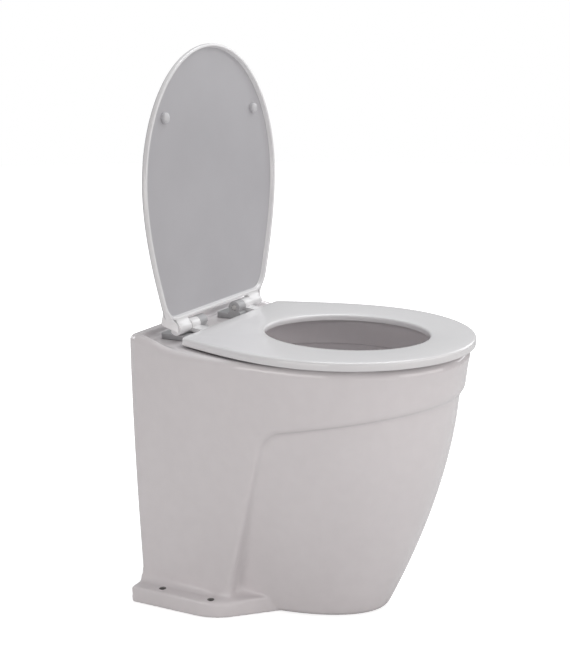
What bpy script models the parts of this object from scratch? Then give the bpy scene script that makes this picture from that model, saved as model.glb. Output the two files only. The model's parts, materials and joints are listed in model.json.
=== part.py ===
"""Marine toilet with a built-in macerator pump, at its real size.

Metres, +Z up, front towards -Y. The origin is on the floor, under the middle
of the outline. A place along the depth is often given as a distance in front
of the rear plane of the ceramic, and at() turns it into world coordinates.
"""
import math

import bmesh
import bpy
from mathutils import Matrix, Vector

# Overall sizes
RIM_HEIGHT = 0.388
CERAMIC_DEPTH = 0.439
RIM_HALF_WIDTH = 0.178
REAR_HALF_WIDTH = 0.149
WIDEST_FROM_REAR = 0.196
HINGE_FROM_REAR = 0.059
HINGE_ABOVE_RIM = 0.0175
SEAT_REACH = 0.388
TOUCH_GAP = 0.0003
RUN_GAP = 0.0005
CUT_OVERRUN = 0.012

REAR_Y = max(CERAMIC_DEPTH, HINGE_FROM_REAR + SEAT_REACH) / 2
HINGE_Z = RIM_HEIGHT + HINGE_ABOVE_RIM

# Rest pose: the lid stands open against its stop, the seat lies on the rim
LID_OPEN_ANGLE = math.radians(91)
SEAT_REST_ANGLE = math.radians(0)

# Ceramic: rear box, rim band and rear upstand
RIM_FRONT_DRAFT_SHARE = 0.1
REAR_TUCK = 0.022
REAR_TUCK_POWER = 1.65
SIDE_TUCK = 0.055
SIDE_TUCK_POWER = 1.25
REAR_CORNER_RADIUS = 0.008
RIM_SQUARENESS = 2.18
RIM_ROUND_FRONT = 0.0125
RIM_ROUND_REAR = 0.0075
UPSTAND_HEIGHT = 0.012
UPSTAND_WIDTH = 0.022
UPSTAND_SLOPE_START = 0.028
UPSTAND_SLOPE_END = 0.06
BORDER_ROUND = 0.002
SIDE_POINT_SHARES = (0.08, 0.13, 0.18, 0.23, 0.28, 0.36, 0.5, 0.66, 0.83)
WALL_LEVEL_SHARES = (0.0, 0.1, 0.24, 0.42, 0.64, 0.86)
ROUND_STEPS = 3
FRONT_STEPS = 11
OVAL_STEPS = 8
UNDERSIDE_STEPS = 6
CORNER_STEPS = 2

# Ceramic: step under the rim band and slanted front edge of the rear box
BAND_AT_FRONT = 0.0565
BAND_AT_MIDDLE = 0.0715
BAND_AT_REAR = 0.0874
STEP_FRONT_HEIGHT = RIM_HEIGHT - BAND_AT_FRONT
STEP_MID_FROM_REAR = 0.3636
STEP_MID_HEIGHT = RIM_HEIGHT - BAND_AT_MIDDLE
STEP_REAR_FROM_REAR = 0.2692
STEP_REAR_HEIGHT = RIM_HEIGHT - BAND_AT_REAR
STEP_CORNER_RADIUS = 0.04
SLANT_TOP_FROM_REAR = 0.2079
SLANT_TOP_BELOW_RIM = 0.1522
SLANT_TOP_HEIGHT = RIM_HEIGHT - SLANT_TOP_BELOW_RIM
SLANT_FOOT_FROM_REAR = 0.1382

# Ceramic: lower bowl
BOWL_TOP_BELOW_RIM = 0.048
BOWL_TOP_HEIGHT = RIM_HEIGHT - BOWL_TOP_BELOW_RIM
BOWL_FOOT_HALF_WIDTH = 0.0895
BOWL_TOP_HALF_WIDTH = 0.164
BOWL_FOOT_REACH = 0.333
BOWL_TOP_REACH = 0.4285
BOWL_FOOT_CENTRE = 0.16
BOWL_TOP_CENTRE = 0.2
BOWL_WIDTH_POWER = 1.43
BOWL_REACH_POWER = 1.72
BOWL_FOOT_SQUARENESS = 2.0
BOWL_TOP_SQUARENESS = 2.08
BOWL_FOOT_ROUND = 0.008
BOWL_BACK_FROM_REAR = 0.11
BOWL_LEVEL_SHARES = (0.03, 0.11, 0.22, 0.35, 0.5, 0.66, 0.83, 1.0)

# Ceramic: floor flange with its bolt holes
FLANGE_REAR_HALF_WIDTH = 0.1565
FLANGE_FRONT_HALF_WIDTH = 0.154
FLANGE_DIAGONAL_SUM = 0.2895
FLANGE_CORNER_RADIUS = 0.034
FLANGE_INNER_HALF_WIDTH = 0.06
FLANGE_HEIGHT = 0.0245
FLANGE_FILLET_TOP = 0.042
FLANGE_FOOT_ROUND = 0.007
FLANGE_TOP_ROUND = 0.005
FLANGE_SHELF_WIDTH = 0.02
FLANGE_FILLET_WIDTH = 0.0285
FLOOR_BOLT_RADIUS = 0.00425
FLOOR_BOLT_X = 0.142
FLOOR_BOLTS_FROM_REAR = (0.044, 0.125)

# Ceramic: inside
WALL = 0.012
BOWL_WALL = 0.0085
DECK_THICKNESS = 0.014
LEDGE_WIDTH = 0.024
BASIN_WALL = 0.01
RIM_OPENING_HALF_WIDTH = 0.134
RIM_OPENING_HALF_LENGTH = 0.15
RIM_OPENING_CENTRE = 0.25
RIM_INNER_ROUND = 0.008
RIM_LIP_DEPTH = 0.04
OUTLET_RADIUS = 0.0235
OUTLET_FROM_REAR = 0.205
SUMP_UNDERSIDE = 0.1615
SUMP_THICKNESS = 0.0165
SUMP_HEIGHT = SUMP_UNDERSIDE + SUMP_THICKNESS
SUMP_FLANGE_RADIUS = 0.045
BASIN_TOP_HALF_WIDTH = 0.141
BASIN_TOP_HALF_LENGTH = 0.156
# Shares of the way from the rim lip down to the sump, and of the basin's size there
BASIN_LEVEL_SHARES = (0.0, 0.13, 0.33, 0.55, 0.76, 0.9)
BASIN_SIZE_SHARES = (1.0, 0.98, 0.91, 0.775, 0.57, 0.37)

# Seat and lid
SEAT_HALF_WIDTH = 0.18
SEAT_WIDEST_REACH = 0.197
SEAT_REAR_HALF_WIDTH = 0.1385
SEAT_START = 0.022
SEAT_CORNER = 0.006
LID_START = 0.0125
LID_REAR_HALF_WIDTH = 0.1357
LID_CORNER = 0.013
SEAT_REAR_SLOPE = 0.37
SEAT_TOP = -0.0028
SEAT_THICKNESS = 0.0125
SEAT_SIDE_WIDTH = 0.077
SEAT_FRONT_WIDTH = 0.062
SEAT_OPENING_START = 0.09
SEAT_OPENING_HALF_WIDTH = SEAT_HALF_WIDTH - SEAT_SIDE_WIDTH
SEAT_OPENING_HALF_LENGTH = (SEAT_REACH - SEAT_FRONT_WIDTH - SEAT_OPENING_START) / 2
SEAT_OPENING_CENTRE = SEAT_OPENING_START + SEAT_OPENING_HALF_LENGTH
SEAT_SKIN = 0.0038
SEAT_EDGE_ROUND = 0.0035
SEAT_CROWN = 0.001
SEAT_INNER_LIFT = 0.003
PAD_LENGTH = 0.036
PAD_WIDTH = 0.013
PAD_FROM_EDGE = 0.0195
FRONT_PAD_SHARE = 0.384
FRONT_PAD_TURN = math.radians(38)
REAR_PAD_SHARE = 0.586
REAR_PAD_TURN = math.radians(-10)
LID_ABOVE_SEAT = 0.001
LID_UNDERSIDE = SEAT_TOP + LID_ABOVE_SEAT
LID_LIP_HEIGHT = 0.0062
LID_LIP_WIDTH = 0.0045
LID_THICKNESS = 0.0088
LID_CROWN = 0.003
LID_BUFFER_FROM_SIDE = 0.0585
LID_BUFFER_FROM_FRONT = 0.096
LID_BUFFER_X = SEAT_HALF_WIDTH - LID_BUFFER_FROM_SIDE
LID_BUFFER_REACH = SEAT_REACH - LID_BUFFER_FROM_FRONT
LID_BUFFER_RADIUS = 0.0072
EGG_FRONT_STEPS = 9
EGG_SIDE_STEPS = 6
EGG_REAR_STEPS = 3

# Hinges
EAR_RADIUS = 0.0095
SEAT_EAR_INNER_X = 0.0653
EAR_SPLIT_X = 0.0873
LID_EAR_OUTER_X = 0.1185
DAMPER_END_X = 0.1123
DAMPER_RADIUS = 0.0058
DAMPER_STEM_RADIUS = 0.0042
POST_INNER_X = 0.0455
POST_OUTER_X = 0.1095
POST_REAR = 0.0275
POST_FRONT = 0.0745
POST_BASE_HEIGHT = 0.0072
POST_CORNER_RADIUS = 0.006
HINGE_STUD_X = 0.0775
HINGE_STUD_FROM_REAR = 0.052
HINGE_STUD_RADIUS = 0.004
HINGE_STUD_LENGTH = 0.046
STUD_IN_POST = 0.0055
HINGE_HOLE_RADIUS = 0.007
HINGE_WASHER_RADIUS = 0.014
HINGE_WASHER_THICKNESS = 0.0045
WING_NUT_RADIUS = 0.008
WING_NUT_HEIGHT = 0.009
WING_SPAN = 0.036
WING_THICKNESS = 0.0035

# Flush water: nozzle, hose, solenoid valve and the bracket under the left hinge
NOZZLE_BELOW_RIM = 0.058
NOZZLE_HEIGHT = RIM_HEIGHT - NOZZLE_BELOW_RIM
NOZZLE_SEAT_FROM_REAR = 0.0935
NOZZLE_NUT_SEAT_FROM_REAR = 0.0845
NOZZLE_HEAD_RADIUS = 0.01
NOZZLE_HEAD_LENGTH = 0.0075
NOZZLE_STEM_RADIUS = 0.0073
NOZZLE_STEM_END = 0.0665
NOZZLE_BARB_END = 0.053
HOSE_BARB_RADIUS = 0.0045
WATERWAY_RADIUS = 0.0025
NOZZLE_NUT_RADIUS = 0.0125
NOZZLE_NUT_THICKNESS = 0.006
FLUSH_HOSE_RADIUS = 0.0065
FLUSH_HOSE_STUB = 0.014
FLUSH_HOSE_TURN = 0.022
CLIP_WIDTH = 0.006
CLIP_THICKNESS = 0.0012
VALVE_OUTLET_X = 0.0605
VALVE_INNER_X = 0.0735
VALVE_OUTER_X = 0.1055
VALVE_HALF_DEPTH = 0.011
VALVE_HALF_HEIGHT = 0.0115
VALVE_INLET_RADIUS = 0.0095
VALVE_INLET_LENGTH = 0.011
COIL_RADIUS = 0.0125
COIL_LENGTH = 0.032
VALVE_BRACKET_THICKNESS = 0.0015
VALVE_BRACKET_REACH = 0.012
SMALL_SCREW_RADIUS = 0.0016
SMALL_HEAD_RADIUS = 0.003
BOLT_HEAD_SHARE = 0.75
CASE_CHAMFER = 0.002
SMALL_SCREW_DEPTH = 0.006

# Macerator pump: chamber, cover, cutter and motor, along one level shaft
PUMP_HEIGHT = 0.088
CHAMBER_RADIUS = 0.046
CHAMBER_WALL = 0.005
CHAMBER_BACK = 0.175
CHAMBER_FRONT = 0.2335
CHAMBER_BACK_WALL = 0.01
COVER_THICKNESS = 0.006
NECK_RADIUS = 0.0275
NECK_FLANGE_THICKNESS = 0.006
GASKET_THICKNESS = 0.0032
SUMP_BOLT_CIRCLE = 0.0375
SUMP_BOLT_RADIUS = 0.0028
SUMP_BOLT_HEAD_RADIUS = 0.005
SUMP_BOLT_DEPTH = 0.009
COVER_SCREW_CIRCLE = 0.0485
COVER_LUG_RADIUS = 0.0055
COVER_LUG_LENGTH = 0.012
COVER_SCREW_COUNT = 4
SHAFT_RADIUS = 0.004
SHAFT_FRONT = 0.2225
SHAFT_BACK = 0.105
IMPELLER_BACK = 0.1865
IMPELLER_DISC_THICKNESS = 0.003
IMPELLER_RADIUS = 0.037
IMPELLER_HUB_RADIUS = 0.0095
IMPELLER_HUB_END = 0.2105
IMPELLER_VANE_END = 0.2035
IMPELLER_VANE_THICKNESS = 0.0035
IMPELLER_VANES = 5
BLADE_THICKNESS = 0.002
BLADE_REACH = 0.0365
BLADE_WIDTH = 0.014
BLADE_TIP_WIDTH = 0.009
BLADE_NUT_RADIUS = 0.0075
BLADE_NUT_THICKNESS = 0.0055
SEAL_RADIUS = 0.0105
SEAL_LENGTH = 0.008
MOTOR_RADIUS = 0.0315
MOTOR_BACK = 0.062
BEARING_RADIUS = 0.0095
BEARING_LENGTH = 0.007
END_CAP_LENGTH = 0.012
END_CAP_STEP = 0.003
GLAND_RADIUS = 0.0065
GLAND_LENGTH = 0.011
GLAND_BORE_RADIUS = 0.003

# Discharge: elbow, non-return valve and hose tail, joined by a flange
DISCHARGE_RADIUS = 0.0195
DISCHARGE_BORE = 0.0155
DISCHARGE_FROM_REAR = 0.203
PORT_END_X = 0.054
ELBOW_STUB = 0.003
ELBOW_TURN = 0.027
ELBOW_END = 0.113
OUTLET_FLANGE_RADIUS = 0.0285
OUTLET_FLANGE_THICKNESS = 0.0045
JOKER_FLANGE_THICKNESS = 0.0035
JOKER_NOSE_LENGTH = 0.03
JOKER_NOSE_RADIUS = 0.0145
JOKER_WALL = 0.0022
JOKER_TIP_RADIUS = 0.0065
TAIL_END = 0.02
TAIL_BARB_RISE = 0.0014
TAIL_BARBS = 3
TAIL_BARB_PITCH = 0.015

# Motor cradle and strap
CRADLE_FRONT = 0.092
CRADLE_REAR = 0.066
CRADLE_PLATE_THICKNESS = 0.003
CRADLE_HALF_WIDTH = 0.106
CRADLE_SHOULDER_HALF_WIDTH = 0.0465
CRADLE_SHOULDER_DROP = 0.0165
CRADLE_WINDOW_HALF_WIDTH = 0.02
CRADLE_WINDOW_WALL = 0.005
STRAP_THICKNESS = 0.0012
STRAP_HALF_LENGTH = 0.008
STRAP_SCREW_X = 0.04
CRADLE_SCREW_X = 0.0985

# Mesh fineness and materials
ROUND_SIDES = 24
PIPE_SIDES = 16
SMALL_SIDES = 12
TINY_SIDES = 8
ARC_STEPS = 6
MERGE_DISTANCE = 0.00001
SMOOTH_ANGLE = math.radians(35)
FINISHES = {
    "glazed_ceramic": ((0.83, 0.83, 0.84), 0.12, 0.0),
    "seat_plastic": ((0.86, 0.86, 0.87), 0.2, 0.0),
    "hinge_plastic": ((0.42, 0.42, 0.43), 0.35, 0.0),
    "white_plastic": ((0.78, 0.78, 0.78), 0.35, 0.0),
    "black_plastic": ((0.03, 0.03, 0.03), 0.45, 0.0),
    "rubber": ((0.025, 0.025, 0.025), 0.7, 0.0),
    "stainless": ((0.62, 0.62, 0.6), 0.25, 1.0),
    "brass": ((0.72, 0.53, 0.25), 0.3, 1.0),
    "motor_paint": ((0.06, 0.06, 0.065), 0.4, 0.0),
}


def start_scene():
    """Empty the scene and make the two collections."""
    for old in list(bpy.data.objects):
        bpy.data.objects.remove(old, do_unlink=True)
    groups = []
    for title in ("marine_toilet", "cutters"):
        group = bpy.data.collections.new(title)
        bpy.context.scene.collection.children.link(group)
        groups.append(group)
    return groups


PARTS, CUTTERS = start_scene()


def at(x, from_rear, z):
    """A world point from its side offset, distance in front of the rear plane, and height."""
    return Vector((x, REAR_Y - from_rear, z))


def finish_material(finish):
    """The material of one finish, made once."""
    material = bpy.data.materials.get(finish)
    if material is None:
        colour, roughness, metallic = FINISHES[finish]
        material = bpy.data.materials.new(finish)
        material.use_nodes = True
        shader = material.node_tree.nodes["Principled BSDF"]
        shader.inputs["Base Color"].default_value = (*colour, 1.0)
        shader.inputs["Roughness"].default_value = roughness
        shader.inputs["Metallic"].default_value = metallic
    return material


def add_mesh(name, mesh, finish=None):
    """Link a mesh as a part, or as a hidden cutter when it has no finish."""
    thing = bpy.data.objects.new(name, mesh)
    if finish is None:
        CUTTERS.objects.link(thing)
        thing.hide_render = True
        thing.display_type = "WIRE"
    else:
        PARTS.objects.link(thing)
        mesh.materials.append(finish_material(finish))
    return thing


def mesh_from(name, bm):
    """Turn a bmesh into a mesh with outward faces, smooth where it is round."""
    bmesh.ops.recalc_face_normals(bm, faces=bm.faces)
    mesh = bpy.data.meshes.new(name)
    bm.to_mesh(mesh)
    bm.free()
    mesh.shade_smooth()
    mesh.set_sharp_from_angle(angle=SMOOTH_ANGLE)
    return mesh


def loft(name, rings, finish=None, ring_closed=False):
    """Skin a list of equal rings of points, capped at both ends or joined end to end."""
    bm = bmesh.new()
    rows = [[bm.verts.new(point) for point in ring] for ring in rings]
    count = len(rows[0])
    pairs = list(zip(rows, rows[1:]))
    if ring_closed:
        pairs.append((rows[-1], rows[0]))
    for low, high in pairs:
        for i in range(count):
            j = (i + 1) % count
            bm.faces.new((low[i], low[j], high[j], high[i]))
    if not ring_closed:
        bm.faces.new(rows[0])
        bm.faces.new(rows[-1])
    return add_mesh(name, mesh_from(name, bm), finish)


def placed(direction, origin):
    """The matrix that turns local Z to a direction and moves it to an origin."""
    turn = Vector((0, 0, 1)).rotation_difference(Vector(direction)).to_matrix().to_4x4()
    return Matrix.Translation(origin) @ turn


def turned(name, profile, origin, direction, finish=None, sides=ROUND_SIDES):
    """Turn a profile of (radius, height) points, its outer side listed top to bottom."""
    bm = bmesh.new()
    verts = [bm.verts.new((radius, 0, height)) for radius, height in profile]
    for first, second in zip(verts, verts[1:]):
        bm.edges.new((first, second))
    if profile[0][0] > 0:
        bm.edges.new((verts[-1], verts[0]))
    mesh = bpy.data.meshes.new(name)
    bm.to_mesh(mesh)
    bm.free()
    thing = add_mesh(name, mesh, finish)
    thing.matrix_world = placed(direction, origin)
    screw = thing.modifiers.new("turn", "SCREW")
    screw.steps = sides
    screw.render_steps = sides
    screw.use_merge_vertices = True
    screw.merge_threshold = MERGE_DISTANCE
    screw.use_smooth_shade = True
    return thing


def rod(name, radius, start, end, finish=None, sides=ROUND_SIDES, end_radius=None):
    """A solid cylinder, cone or prism from one point to another."""
    bm = bmesh.new()
    run = end - start
    top = radius if end_radius is None else end_radius
    bmesh.ops.create_cone(bm, cap_ends=True, segments=sides, radius1=radius, radius2=top,
                          depth=run.length)
    bmesh.ops.transform(bm, matrix=placed(run, (start + end) / 2), verts=bm.verts)
    return add_mesh(name, mesh_from(name, bm), finish)


def mesh_of(thing):
    """The evaluated mesh of an object, in world space, with its doubles merged."""
    graph = bpy.context.evaluated_depsgraph_get()
    mesh = bpy.data.meshes.new_from_object(thing.evaluated_get(graph))
    mesh.transform(thing.matrix_world)
    bm = bmesh.new()
    bm.from_mesh(mesh)
    bmesh.ops.remove_doubles(bm, verts=bm.verts, dist=MERGE_DISTANCE)
    bpy.data.meshes.remove(mesh)
    return bm


def one_cutter(name, things):
    """Put several separate cutters in one object."""
    whole = bmesh.new()
    for thing in things:
        whole.from_mesh(thing.data)
        bpy.data.objects.remove(thing, do_unlink=True)
    return add_mesh(name, mesh_from(name, whole))


def hang(title, place, names):
    """Parent moving pieces to an empty on their joint's axis."""
    pivot = bpy.data.objects.new(title, None)
    PARTS.objects.link(pivot)
    pivot.location = place
    bpy.context.view_layer.update()
    for name in names:
        piece = bpy.data.objects[name]
        piece.parent = pivot
        piece.matrix_parent_inverse = pivot.matrix_world.inverted()


def labels():
    """The two sides, as seen from the front."""
    return ((-1, "left"), (1, "right"))


def plate(name, outlines, thickness, frame, finish=None):
    """A flat sheet from closed outlines, the first one solid and the others holes."""
    curve = bpy.data.curves.new(name, "CURVE")
    curve.dimensions = "2D"
    curve.fill_mode = "BOTH"
    curve.extrude = thickness / 2
    for outline in outlines:
        spline = curve.splines.new("POLY")
        spline.points.add(len(outline) - 1)
        for point, (u, v) in zip(spline.points, outline):
            point.co = (u, v, 0, 1)
        spline.use_cyclic_u = True
    thing = bpy.data.objects.new(name, curve)
    CUTTERS.objects.link(thing)
    thing.matrix_world = frame
    bpy.context.view_layer.update()
    bm = mesh_of(thing)
    bpy.data.objects.remove(thing, do_unlink=True)
    return add_mesh(name, mesh_from(name, bm), finish)


def pipe(name, points, radius, bore, finish=None, sides=3):
    """A tube along smooth points, with an open bore when one is given."""
    outer = swept(name, points, radius, finish, sides)
    if bore:
        first = points[0] + (points[0] - points[1]).normalized() * CUT_OVERRUN
        last = points[-1] + (points[-1] - points[-2]).normalized() * CUT_OVERRUN
        cut(outer, swept(name + "_bore", [first, *points[1:-1], last], bore, None, sides))
    return outer


def swept(name, points, radius, finish, sides):
    """A solid round bar along points."""
    curve = bpy.data.curves.new(name, "CURVE")
    curve.dimensions = "3D"
    curve.bevel_depth = radius
    curve.bevel_resolution = sides
    curve.use_fill_caps = True
    spline = curve.splines.new("POLY")
    spline.points.add(len(points) - 1)
    for point, place in zip(spline.points, points):
        point.co = (*place, 1)
    thing = bpy.data.objects.new(name, curve)
    CUTTERS.objects.link(thing)
    bpy.context.view_layer.update()
    bm = mesh_of(thing)
    bpy.data.objects.remove(thing, do_unlink=True)
    return add_mesh(name, mesh_from(name, bm), finish)


def boolean(target, other, operation):
    """Add one exact Boolean to an object."""
    modifier = target.modifiers.new(other.name, "BOOLEAN")
    modifier.operation = operation
    modifier.solver = "EXACT"
    modifier.object = other


def cut(target, cutter):
    boolean(target, cutter, "DIFFERENCE")


def join(target, other):
    boolean(target, other, "UNION")


def ease(share):
    """A smooth step from 0 to 1."""
    share = min(max(share, 0), 1)
    return share * share * (3 - 2 * share)


def arc(centre, radius, start, end, steps):
    """Points along an arc in a plane, angles in radians."""
    points = []
    for i in range(steps + 1):
        angle = start + (end - start) * i / steps
        points.append((centre[0] + radius * math.cos(angle), centre[1] + radius * math.sin(angle)))
    return points


def rounded(points, radii, steps=CORNER_STEPS):
    """A polygon with an arc at each corner whose radius isn't zero."""
    result = []
    count = len(points)
    for i, radius in enumerate(radii):
        here = Vector(points[i])
        if not radius:
            result.append(tuple(here))
            continue
        before = (Vector(points[i - 1]) - here).normalized()
        after = (Vector(points[(i + 1) % count]) - here).normalized()
        half = before.angle(after) / 2
        reach = radius / math.tan(half)
        centre = here + (before + after).normalized() * (radius / math.sin(half))
        first = here + before * reach - centre
        last = here + after * reach - centre
        sweep = first.angle_signed(last)
        start = math.atan2(first.y, first.x)
        result += arc(centre, radius, start, start - sweep, steps)
    return result


def mirrored(half):
    """Close a half outline, from the middle of one end to the middle of the other."""
    inner = [(-x, y) for x, y in reversed(half[1:-1])]
    return half + inner


def quarter(half_width, half_length, squareness, steps):
    """A quarter of a squared oval, from its side to its end, as (x, reach) points."""
    points = []
    for i in range(steps + 1):
        angle = math.pi / 2 * i / steps
        x = half_width * math.cos(angle) ** (2 / squareness) if i < steps else 0
        points.append((x, half_length * math.sin(angle) ** (2 / squareness)))
    return points


# Ceramic

def rear_half_width(z):
    share = max(0, 1 - z / RIM_HEIGHT)
    return REAR_HALF_WIDTH - REAR_TUCK * share ** REAR_TUCK_POWER


def side_half_width(z):
    share = max(0, 1 - z / RIM_HEIGHT)
    return RIM_HALF_WIDTH - SIDE_TUCK * share ** SIDE_TUCK_POWER


def wall_outline(z, inset, front=None, open_rear=0):
    """The plan of the outer wall at a height: straight rear, bowed sides, round front."""
    rear = rear_half_width(z) - inset
    side = side_half_width(z) - inset
    start = inset - open_rear
    corner = max(REAR_CORNER_RADIUS - inset, REAR_CORNER_RADIUS / 4)
    half = [(0, start), (rear / 2, start)]
    half += arc((rear - corner, start + corner), corner, -math.pi / 2, 0, CORNER_STEPS)
    for share in SIDE_POINT_SHARES:
        reach = max(WIDEST_FROM_REAR * share, start + corner * (1 + share))
        half.append((side - (side - rear) * (1 - share) ** 2, reach))
    if front is None:
        length = CERAMIC_DEPTH - (RIM_HEIGHT - z) * RIM_FRONT_DRAFT_SHARE - inset - WIDEST_FROM_REAR
        half += [(x, WIDEST_FROM_REAR + r) for x, r in quarter(side, length, RIM_SQUARENESS, FRONT_STEPS)]
    else:
        half = [(x, min(r, front)) for x, r in half if r < front - WALL / 4]
        half += [(half[-1][0], front), (0, front)]
    return mirrored(half)


def rim_top(from_rear):
    """Height of the top of the wall: raised along the rear, at rim level further forward."""
    share = (from_rear - UPSTAND_SLOPE_START) / (UPSTAND_SLOPE_END - UPSTAND_SLOPE_START)
    return RIM_HEIGHT + UPSTAND_HEIGHT * (1 - ease(share))


def outer_body():
    """Rear box, rim band and rear upstand, as one closed body down to the floor."""
    rings = []
    for share in WALL_LEVEL_SHARES:
        z = RIM_HEIGHT * share
        rings.append([at(x, d, z) for x, d in wall_outline(z, 0)])
    for step in range(ROUND_STEPS + 1):
        angle = math.pi / 2 * step / ROUND_STEPS
        ring = []
        for x, d in wall_outline(RIM_HEIGHT, 0):
            forward = ease((d - WIDEST_FROM_REAR) / (CERAMIC_DEPTH - WIDEST_FROM_REAR))
            radius = RIM_ROUND_REAR + (RIM_ROUND_FRONT - RIM_ROUND_REAR) * forward
            inset = radius * (1 - math.cos(angle))
            scale = 1 - inset / RIM_HALF_WIDTH
            middle = WIDEST_FROM_REAR
            ring.append(at(x * scale, middle + (d - middle) * scale,
                           rim_top(d) - radius * (1 - math.sin(angle))))
        rings.append(ring)
    top = wall_outline(RIM_HEIGHT, UPSTAND_WIDTH)
    rings.append([at(x, d, rim_top(d)) for x, d in top])
    floor = wall_outline(RIM_HEIGHT, UPSTAND_WIDTH + BORDER_ROUND)
    rings.append([at(x, d, RIM_HEIGHT) for x, d in floor])
    return loft("ceramic_bowl", rings, "glazed_ceramic")


def slant_reach(z):
    """Distance from the rear of the slanted front edge of the rear box, at a height."""
    share = z / SLANT_TOP_HEIGHT
    return SLANT_FOOT_FROM_REAR + (SLANT_TOP_FROM_REAR - SLANT_FOOT_FROM_REAR) * share


def side_profile(points, name):
    """An X-wide prism from (distance from rear, height) points."""
    frame = Matrix(((0, 0, 1, 0), (-1, 0, 0, REAR_Y), (0, 1, 0, 0), (0, 0, 0, 1)))
    return plate(name, [points], 3 * RIM_HALF_WIDTH, frame)


def front_cutter():
    """Everything of the outer body in front of the slanted edge and below the step."""
    far = CERAMIC_DEPTH + CUT_OVERRUN
    low = -CUT_OVERRUN
    corner_z = STEP_REAR_HEIGHT - (STEP_REAR_FROM_REAR - SLANT_TOP_FROM_REAR) / 6
    points = [(slant_reach(low), low), (far, low), (far, STEP_FRONT_HEIGHT),
              (STEP_MID_FROM_REAR, STEP_MID_HEIGHT), (slant_reach(corner_z), corner_z)]
    radii = [0, 0, 0, 3 * STEP_CORNER_RADIUS, STEP_CORNER_RADIUS]
    return side_profile(rounded(points, radii, 2 * CORNER_STEPS), "front_cutter")


def bowl_outline(share, inset):
    """The plan of the lower bowl at a share of its height."""
    squareness = BOWL_FOOT_SQUARENESS + (BOWL_TOP_SQUARENESS - BOWL_FOOT_SQUARENESS) * min(1, 1.6 * share)
    grown = 1 - (1 - share) ** BOWL_WIDTH_POWER
    reached = 1 - (1 - share) ** BOWL_REACH_POWER
    width = BOWL_FOOT_HALF_WIDTH + (BOWL_TOP_HALF_WIDTH - BOWL_FOOT_HALF_WIDTH) * grown - inset
    reach = BOWL_FOOT_REACH + (BOWL_TOP_REACH - BOWL_FOOT_REACH) * reached - inset
    centre = BOWL_FOOT_CENTRE + (BOWL_TOP_CENTRE - BOWL_FOOT_CENTRE) * share
    back = BOWL_BACK_FROM_REAR
    half = [(0, back), (width * 0.6, back), (width * 0.97, back), (width, (back + centre) / 2)]
    half += [(x, centre + r) for x, r in quarter(width, reach - centre, squareness, FRONT_STEPS)]
    return mirrored(half)


def lower_bowl(name, inset, top_share=1.0, foot=0.0):
    """The lower bowl, or its inner copy set in by a wall."""
    rings = []
    if inset:
        rings.append([at(x, d, -CUT_OVERRUN) for x, d in bowl_outline(0, inset)])
    else:
        rings.append([at(x, d, foot) for x, d in bowl_outline(0, BOWL_FOOT_ROUND * 0.7)])
    for share in BOWL_LEVEL_SHARES:
        if share > top_share:
            break
        z = BOWL_TOP_HEIGHT * share
        edge = BOWL_FOOT_ROUND * max(0, 1 - z / BOWL_FOOT_ROUND) ** 2
        rings.append([at(x, d, z) for x, d in bowl_outline(share, inset + edge * 0.5)])
    return loft(name, rings)


def flange_outline(inset):
    """The plan of the floor flange: open at the rear, with a diagonal front corner."""
    rear = FLANGE_REAR_HALF_WIDTH - inset
    front = FLANGE_FRONT_HALF_WIDTH - inset
    total = FLANGE_DIAGONAL_SUM - inset * math.sqrt(2)
    inner = FLANGE_INNER_HALF_WIDTH
    points = [(0, 0), (rear, 0), (front, total - front), (inner, total - inner), (0, total - inner)]
    half = rounded(points, [0, 0, FLANGE_CORNER_RADIUS, 0, 0], 2 * CORNER_STEPS)
    return mirrored(half)


def floor_flange():
    """The bolting flange, with rounded edges and a fillet up to the wall."""
    top = FLANGE_HEIGHT
    levels = [
        (FLANGE_FOOT_ROUND, 0), (FLANGE_FOOT_ROUND * 0.3, FLANGE_FOOT_ROUND * 0.4),
        (0, FLANGE_FOOT_ROUND), (0, top - FLANGE_TOP_ROUND),
        (FLANGE_TOP_ROUND * 0.3, top - FLANGE_TOP_ROUND * 0.3), (FLANGE_TOP_ROUND, top),
        (FLANGE_SHELF_WIDTH, top + FLANGE_TOP_ROUND * 0.3),
        ((FLANGE_SHELF_WIDTH + FLANGE_FILLET_WIDTH) / 2, top + (FLANGE_FILLET_TOP - top) * 0.4),
        (FLANGE_FILLET_WIDTH, FLANGE_FILLET_TOP),
    ]
    rings = []
    for inset, z in levels:
        rings.append([at(x, d, z) for x, d in flange_outline(inset)])
    return loft("floor_flange", rings)


def basin_sections(grow):
    """Sections of the basin from the rim lip down to the sump, grown by a wall."""
    lip = RIM_HEIGHT - RIM_LIP_DEPTH
    sections = []
    for level, size in zip(BASIN_LEVEL_SHARES, BASIN_SIZE_SHARES):
        z = lip + (SUMP_HEIGHT - lip) * level
        centre = RIM_OPENING_CENTRE + (OUTLET_FROM_REAR - RIM_OPENING_CENTRE) * level ** 2
        sections.append((BASIN_TOP_HALF_WIDTH * size + grow, BASIN_TOP_HALF_LENGTH * size + grow, centre, z))
    return sections


def oval_ring(half_width, half_length, centre, z, steps=OVAL_STEPS):
    """A level oval ring of points."""
    ring = []
    for i in range(4 * steps):
        angle = math.pi / 2 * i / steps
        ring.append(at(half_width * math.sin(angle), centre + half_length * math.cos(angle), z))
    return ring


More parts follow.
